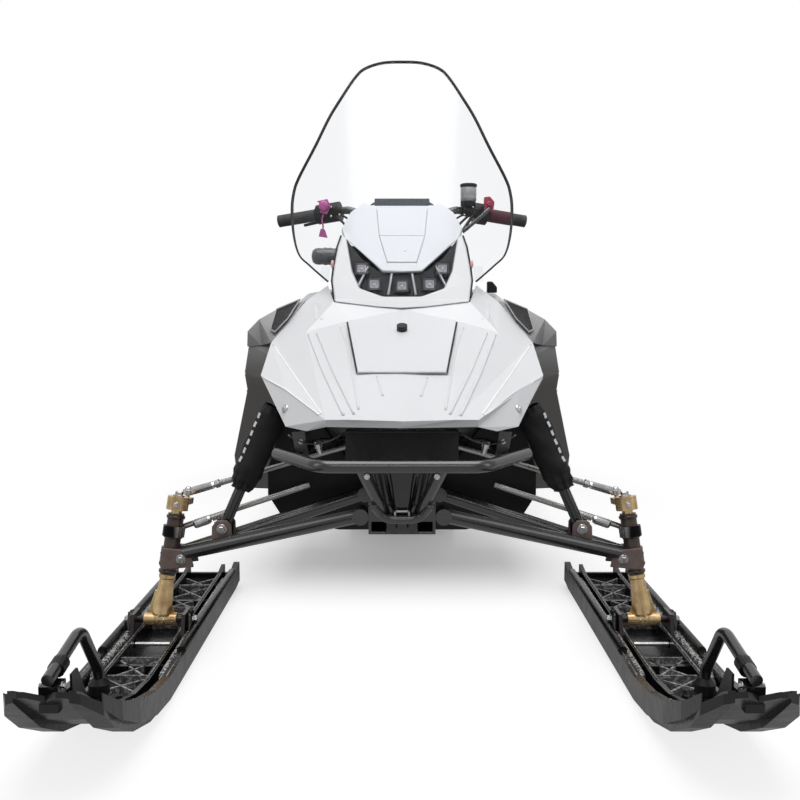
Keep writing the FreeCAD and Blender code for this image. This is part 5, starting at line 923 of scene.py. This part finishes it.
with Kit("bar_cables", "black_plastic", "handlebar", both=True) as kit:
    kit.tube(curve_through(line((190, 668, 1030), (165, 640, 1006), (140, 632, 975), (112, 640, 948)), 5), 3.6, 8)
    kit.tube(curve_through(line((178, 676, 1036), (150, 662, 1018), (118, 652, 984), (96, 650, 956)), 5), 3, 8)
with Kit("brake_lever", "black_frame", "handlebar") as kit:
    lever = curve_through(line((252, 662, 1052), (226, 650, 1028), (196, 642, 1002), (172, 640, 984)), 5)
    kit.tube(lever, [6.5] * 4 + [5.5] * (len(lever) - 8) + [6.5] * 4)
with Kit("control_screws", "bright_steel", "handlebar", both=True) as kit:
    for x, z in ((204, 1030), (204, 1056), (180, 1034)):
        kit.domed(at(x, 668, z), FRONT, 3.4, 2.4)
with Kit("bar_pad", "black_plastic", "handlebar") as kit:
    kit.lathe(at(-62, 650, 1012), LEFT, [(8, 0), (19, 4), (22, 20), (22, 104), (19, 120), (8, 124)], 18)

# Vents

VENT_SHELL = {"hood_low": (308.5, 170.5, 687), "hood_high": (240.5, 286, 786), "top": (251, 294, 782),
              "peak": (300, 284, 770), "outer": (354, 280, 740), "edge": (384, 284, 710), "low": (386, 286, 672),
              "corner": (346, 262, 676), "back": (300, 330, 770), "back_out": (352, 330, 742),
              "back_edge": (386, 334, 706)}
VENT_FACES = ("hood_low hood_high peak", "hood_low peak outer", "hood_low outer corner", "corner outer edge",
              "corner edge low", "hood_high top peak", "peak top back", "outer peak back", "outer back back_out",
              "edge outer back_out", "edge back_out back_edge", "low edge back_edge")
with Kit("vent_shells", "grey_panel", look="vent_paint", both=True, flat=True) as kit:
    corners = {key: kit.bm.verts.new(at(*place)) for key, place in VENT_SHELL.items()}
    for face in VENT_FACES:
        kit.bm.faces.new([corners[key] for key in face.split()])
modify(kit.piece, "SOLIDIFY", thickness=0.0025, offset=-1)
round_edges(kit.piece, 3, angle=12)
mesh_ring = line((300, 196, 706), (312, 214, 711), (306, 274, 757), (252.5, 280.5, 779.5), (273, 226, 737.5))
mesh_out = (mesh_ring[2] - mesh_ring[0]).cross(mesh_ring[3] - mesh_ring[0]).normalized()
mesh_out = mesh_out if mesh_out.y < 0 else -mesh_out
mesh_ring = [p + mesh_out * 0.006 for p in mesh_ring]
with Kit("vent_mesh", "black_plastic", look="honeycomb", both=True, flat=True) as kit:
    kit.prism(mesh_ring, mesh_out * 0.002)
with Kit("vent_frames", "grey_panel", look="vent_paint", bevel=0.8, both=True) as kit:
    centre = sum(mesh_ring, Vector()) / 5
    grown = [centre + (p - centre) * 1.10 for p in mesh_ring]
    for k in range(5):
        kit.prism([grown[k - 1], grown[k], mesh_ring[k], mesh_ring[k - 1]], mesh_out * 0.004)

# Seat: a cushion grown by cloth from a slightly smaller copy of its solid, then piped and stitched

SEAT_SHRINK, SEAT_VOXEL, SEAT_REACH, SEAT_HELD, SEAT_INSET = 0.009, 0.010, 0.022, 0.020, 0.001
CLOTH_STEPS = 20


def evaluated_mesh(piece):
    graph = bpy.context.evaluated_depsgraph_get()
    return bpy.data.meshes.new_from_object(piece.evaluated_get(graph))


def puff(piece, low, high):
    """Blow a cushion up a little, with its foot held and its box kept."""
    start_mesh = piece.data
    rest = [v.co.copy() for v in start_mesh.vertices]
    held = piece.vertex_groups.new(name="held")
    held.add([v.index for v in start_mesh.vertices if v.co.z < low.z + SEAT_HELD], 1, "REPLACE")
    cloth = modify(piece, "CLOTH")
    for key, value in (("vertex_group_mass", "held"), ("use_pressure", True), ("uniform_pressure_force", 4),
                       ("tension_stiffness", 18), ("compression_stiffness", 18), ("bending_stiffness", 6),
                       ("quality", 4)):
        setattr(cloth.settings, key, value)
    cloth.settings.effector_weights.gravity = 0
    cloth.point_cache.frame_start, cloth.point_cache.frame_end = 1, CLOTH_STEPS
    for step in range(1, CLOTH_STEPS + 1):
        bpy.context.scene.frame_set(step)
    puffed = evaluated_mesh(piece)
    bpy.context.scene.frame_set(1)
    piece.modifiers.clear()
    for vert, start in zip(puffed.vertices, rest):
        move = vert.co - start
        if move.length > SEAT_REACH:
            move = move.normalized() * SEAT_REACH
        vert.co = start + move
        for axis in range(3):
            vert.co[axis] = min(max(vert.co[axis], low[axis] + SEAT_INSET), high[axis] - SEAT_INSET)
    piece.data = puffed


low, high = (Vector(c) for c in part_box("seat"))
seat_cover = bpy.data.objects.new("seat_cover", NODES["seat"].data.copy())
bpy.context.collection.objects.link(seat_cover)
seat_cover.data.materials.clear()
middle, size = (low + high) / 2, high - low
for vert in seat_cover.data.vertices:
    for axis in range(3):
        vert.co[axis] = middle[axis] + (vert.co[axis] - middle[axis]) * (1 - 2 * SEAT_SHRINK / size[axis])
modify(seat_cover, "WELD", merge_threshold=0.00005)
modify(seat_cover, "REMESH", mode="VOXEL", voxel_size=SEAT_VOXEL)
shaped = evaluated_mesh(seat_cover)
seat_cover.modifiers.clear()
seat_cover.data = shaped
puff(seat_cover, low, high)
modify(seat_cover, "SMOOTH", factor=0.5, iterations=6)
modify(seat_cover, "SUBSURF", levels=1, render_levels=1)
for polygon in seat_cover.data.polygons:
    polygon.use_smooth = True
seat_cover.data.materials.append(M["seat_vinyl"])
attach(seat_cover, "chassis")
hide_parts("seat")
SEAT_TREE = tree_from(evaluated_mesh(seat_cover))


def seat_line(kit, places, way, wide, high):
    """A strip over the cushion, along places that are pushed onto it."""
    hits = [SEAT_TREE.ray_cast(at(*place), way)[:2] for place in places]
    hits = [(place, normal if normal.dot(way) < 0 else -normal) for place, normal in hits if place is not None]
    if len(hits) > 2:
        kit.strip([place for place, _ in hits], [normal for _, normal in hits], wide, high)


with Kit("seat_piping", "seat_vinyl") as kit:
    for side in SIDES:
        seat_line(kit, [(side * 700, 960 + k * 26, 676 - 8 * math.sin(k / 33 * math.pi)) for k in range(33)],
                  LEFT * -side, 7, 3.2)
        seat_line(kit, [(side * (66 + 10 * math.sin(k / 20 * math.pi)), 1190 + k * 14, 1400) for k in range(20)],
                  -UP, 5, 2.2)
    for y in (1180, 1470):
        seat_line(kit, [(k * 10, y + 14 * math.cos(k / 15 * 1.4), 1400) for k in range(-15, 16)], -UP, 6, 2.4)
with Kit("seat_stitches", "grip_rubber") as kit:
    for y in (1168, 1458):
        for start in (-132 + k * 11 for k in range(24)):
            seat_line(kit, [(x, y + 14 * math.cos(x / 150 * 1.4), 1400)
                            for x in (start + step * 2.2 for step in range(4))], -UP, 1.6, 0.9)

# Console, tunnel, boards, flap and tail lamp

with Kit("tank_cap", "black_plastic", bevel=0.6) as kit:
    place, normal = drop("console", 0, 640)
    kit.lathe(place - normal * 0.004, normal, [(46, 0), (46, 9), (43, 12), (36, 12.4), (35, 26), (32, 30), (8, 31)],
              36)
    for rib in circle(place + normal * 0.008, *across(normal), 35.2, 12):
        kit.tube([rib, rib + normal * 0.016], 3, 8)
with Kit("console_seams", "black_plastic") as kit:
    kit.ridges("console", [(108, 520), (86, 640), (86, 760), (118, 880)], 10, 3, 1)
with Kit("tunnel_ribs", "tunnel_metal") as kit:
    for y in range(1920, 2200, 46):
        place, normal = beside("tunnel", y, 400)
        kit.strip([place + offset(0, 0, z) for z in (-50, -20, 10, 45)], normal, 12, 2.6)
    kit.mirror()
    for x in (-120, -60, 0, 60, 120):
        kit.strip([at(x, y, 470) for y in (1890, 1960, 2040, 2110)], UP, 16, 3)
with Kit("tunnel_rivets", "bright_steel", both=True) as kit:
    for first, z in ((900, 458), (1780, 304)):
        for y in range(first, 2220, 40):
            kit.domed(*beside("tunnel", y, z), 4, 2)
with Kit("board_teeth", "tunnel_metal", bevel=0.5, both=True) as kit:
    for x in (212, 236, 372, 393):
        for y in (572 + k * 18 for k in range(66)):
            kit.prism([at(x + a, y + b, 314) for a, b in ((-2, 0), (2, 0), (2, 7), (-2, 7))], UP * 0.004)
with Kit("flap_ribs", "flap_rubber") as kit:
    for x in range(-156, 157, 52):
        kit.strip([at(x, 2236, z) for z in (210, 270, 340, 400)], REAR, 16, 3)
with Kit("flap_bolts", "bright_steel", bevel=0.4, both=True) as kit:
    for x in (57, 170):
        kit.bolt(at(x, 2236, 446), REAR, 6)
with Kit("tail_lamp_ribs", "red_lens") as kit:
    for x in range(-64, 65, 16):
        kit.strip([at(x, 1894.2, z) for z in (598, 608, 622, 632)], REAR, 9, 2.4)

# Undercarriage and side panels

WHEELS = ((2060, 128, 85.8), (1600, 328, 52.8), (1400, 98, 55.8), (1720, 98, 55.8))
with Kit("wheel_bolts", "bright_steel", bevel=0.6, both=True) as kit:
    for y, z, _ in WHEELS:
        kit.bolt(at(115.6, y, z), LEFT, 11, 9)
with Kit("wheel_tyres", "track_rubber", both=True) as kit:
    for y, z, radius in WHEELS:
        for x in (85.5, 96.5, 107.5):
            kit.tube(circle(at(x, y, z), REAR, UP, radius, 44), 1.6, 6, closed=True)
with Kit("panel_screws", "bright_steel", bevel=0.3, both=True) as kit:
    for y, z in ((330, 470), (600, 440), (600, 620), (820, 420), (330, 640)):
        place, normal = beside("side_panel_left", y, z)
        kit.domed(place, normal, 6.5, 2.4)
        kit.lathe(place + normal * 0.002, normal, [(2.6, 0), (2.6, 0.8)], 6)
with Kit("panel_ridges", "grey_panel", both=True) as kit:
    for places in ([(300, 700), (440, 640), (640, 600), (840, 560)], [(300, 560), (480, 500), (700, 470), (860, 450)]):
        hits = [beside("side_panel_left", lerp(y0, y1, k / 6), lerp(z0, z1, k / 6))
                for (y0, z0), (y1, z1) in zip(places, places[1:]) for k in range(6)]
        kit.strip([place for place, _ in hits], [normal for _, normal in hits], 9, 2.4)

# Ground, world, lamps and camera

GROUND_HALF, GROUND_DROP = 14, -0.0012


def shown_ways(tree):
    """The kinds of ray, and a share that is 1 for rays straight from the camera or through a clear sheet."""
    path = add(tree, "ShaderNodeLightPath").outputs
    return path, calculate(tree, "MAXIMUM", path["Is Camera Ray"], path["Is Transmission Ray"])


def ground_material():
    """A white ground that keeps its shadows and shows white where nothing darkens it, except in front under the
    machine's middle, where painted light turns its shadow white.
    """
    paint = Paint("floor_white", (0.93, 0.93, 0.93), 0.9, specular=0.1)
    tree = paint.tree
    paint.vary(0.01, 0.6)
    path, shown = shown_ways(tree)
    paint.tint(paint.mix(path["Is Camera Ray"], (0.34, 0.34, 0.34), paint.tone))
    none, glow, white = (add(tree, "ShaderNodeEmission", {"Strength": power}).outputs[0] for power in (0, 0.3, 1))
    lift = add(tree, "ShaderNodeMixShader", {0: shown, 1: none, 2: glow}).outputs[0]
    lit = add(tree, "ShaderNodeAddShader", {0: paint.shader.outputs[0], 1: lift}).outputs[0]
    far = add(tree, "ShaderNodeVectorMath", {0: paint.position((1, 0.5, 1))}, operation="LENGTH").outputs["Value"]
    x, y, _ = add(tree, "ShaderNodeSeparateXYZ", {0: paint.position()}).outputs
    # Painted light: from y -0.14 m to -0.62 m forward the ground turns white over the machine's shadow, fully within
    # |x| 0.36 m and to 72 per cent beyond |x| 0.48 m, by the skis
    front = spread(tree, y, (-0.14, -0.62))
    middle = spread(tree, calculate(tree, "ABSOLUTE", x), (0.36, 0.48), (1, 0.72))
    white_and_painted_light = calculate(tree, "MAXIMUM", spread(tree, far, (0.78, 1.25)), calculate(tree, "MULTIPLY", front, middle))
    gloss = spread(tree, path["Is Glossy Ray"], (0, 1), (0, 0.34))
    share = calculate(tree, "MULTIPLY", white_and_painted_light, calculate(tree, "MAXIMUM", shown, gloss))
    paint.surface(add(tree, "ShaderNodeMixShader", {0: share, 1: lit, 2: white}).outputs[0])
    return paint.mat


def stay_under(ground, pieces):
    """The ground goes down as far as the lowest of these pieces, so that it never cuts a ski that is tilted."""
    group = bpy.data.node_groups.new("stay_under", "GeometryNodeTree")
    for way in ("INPUT", "OUTPUT"):
        group.interface.new_socket("Geometry", in_out=way, socket_type="NodeSocketGeometry")
    source = add(group, "NodeGroupInput").outputs[0]
    joined = add(group, "GeometryNodeJoinGeometry")
    for piece in pieces:
        shape = add(group, "GeometryNodeObjectInfo", {"Object": piece}, transform_space="RELATIVE")
        group.links.new(shape.outputs["Geometry"], joined.inputs[0])
    lowest = add(group, "GeometryNodeAttributeStatistic", {"Geometry": joined.outputs[0]}, data_type="FLOAT_VECTOR")
    place = add(group, "GeometryNodeInputPosition").outputs[0]
    group.links.new(place, next(e for e in lowest.inputs if e.name == "Attribute" and e.type == "VECTOR"))
    corner = next(e for e in lowest.outputs if e.name == "Min" and e.type == "VECTOR")
    height = add(group, "ShaderNodeSeparateXYZ", {0: corner}).outputs[2]
    down = add(group, "ShaderNodeCombineXYZ", {2: calculate(group, "MINIMUM", height, 0)}).outputs[0]
    moved = add(group, "GeometryNodeSetPosition", {"Geometry": source, "Offset": down}).outputs[0]
    add(group, "NodeGroupOutput", {0: moved})
    modify(ground, "NODES", node_group=group)


mesh = bpy.data.meshes.new("floor")
mesh.from_pydata([(a * GROUND_HALF, b * GROUND_HALF, 0) for a, b in CORNERS], [], [(0, 1, 2, 3)])
mesh.materials.append(ground_material())
floor = bpy.data.objects.new("floor", mesh)
bpy.context.collection.objects.link(floor)
floor.location.z = GROUND_DROP
stay_under(floor, [NODES["ski_left"], NODES["ski_right"]])

world = bpy.data.worlds.new("studio")
bpy.context.scene.world = world
world.use_nodes = True
tree = world.node_tree
path, shown = shown_ways(tree)
way = add(tree, "ShaderNodeTexCoord").outputs["Generated"]
depth = add(tree, "ShaderNodeSeparateXYZ", {0: way}).outputs[1]
glow = spread(tree, depth, (0.2, 0.75), (0.5, 1), "LINEAR")
light, mirror, white = (
    add(tree, "ShaderNodeBackground", {"Color": (grey, grey, grey, 1), "Strength": power}).outputs[0]
    for grey, power in ((1, 0.3), (0.8, glow), (1, 1)))
unseen = add(tree, "ShaderNodeMixShader", {0: path["Is Glossy Ray"], 1: light, 2: mirror}).outputs[0]
sky = add(tree, "ShaderNodeMixShader", {0: shown, 1: unseen, 2: white}).outputs[0]
tree.links.new(sky, tree.nodes["World Output"].inputs["Surface"])

# Name, place, target, power, and width and height
for name, place, target, power, size in (("top", (0, -1.2, 4), (0, -0.3, 0.4), 110, (3.2, 3.6)),
                                         ("left_fill", (-3.6, -2.4, 2.1), (0, -0.6, 0.5), 16, (1.2, 2.6)),
                                         ("right_fill", (3.6, -2.4, 2.1), (0, -0.6, 0.5), 16, (1.2, 2.6)),
                                         ("front", (0, -5.2, 2.6), (0, -0.6, 0.5), 15, (2.4, 1))):
    data = bpy.data.lights.new(name, "AREA")
    data.energy, data.shape = power, "RECTANGLE"
    data.size, data.size_y = size
    lamp = bpy.data.objects.new(name, data)
    bpy.context.collection.objects.link(lamp)
    lamp.location = place
    lamp.rotation_euler = (Vector(target) - Vector(place)).to_track_quat("-Z", "Y").to_euler()

camera_data = bpy.data.cameras.new("camera")
camera_data.lens, camera_data.sensor_width, camera_data.shift_x = 40, 36, -0.0025
camera = bpy.data.objects.new("camera", camera_data)
bpy.context.collection.objects.link(camera)
camera.location = (0, -2.796, 0.770)
camera.rotation_euler = (math.radians(90 - 5.97), 0, 0)
bpy.context.scene.camera = camera
bpy.context.scene.view_settings.view_transform = "Standard"
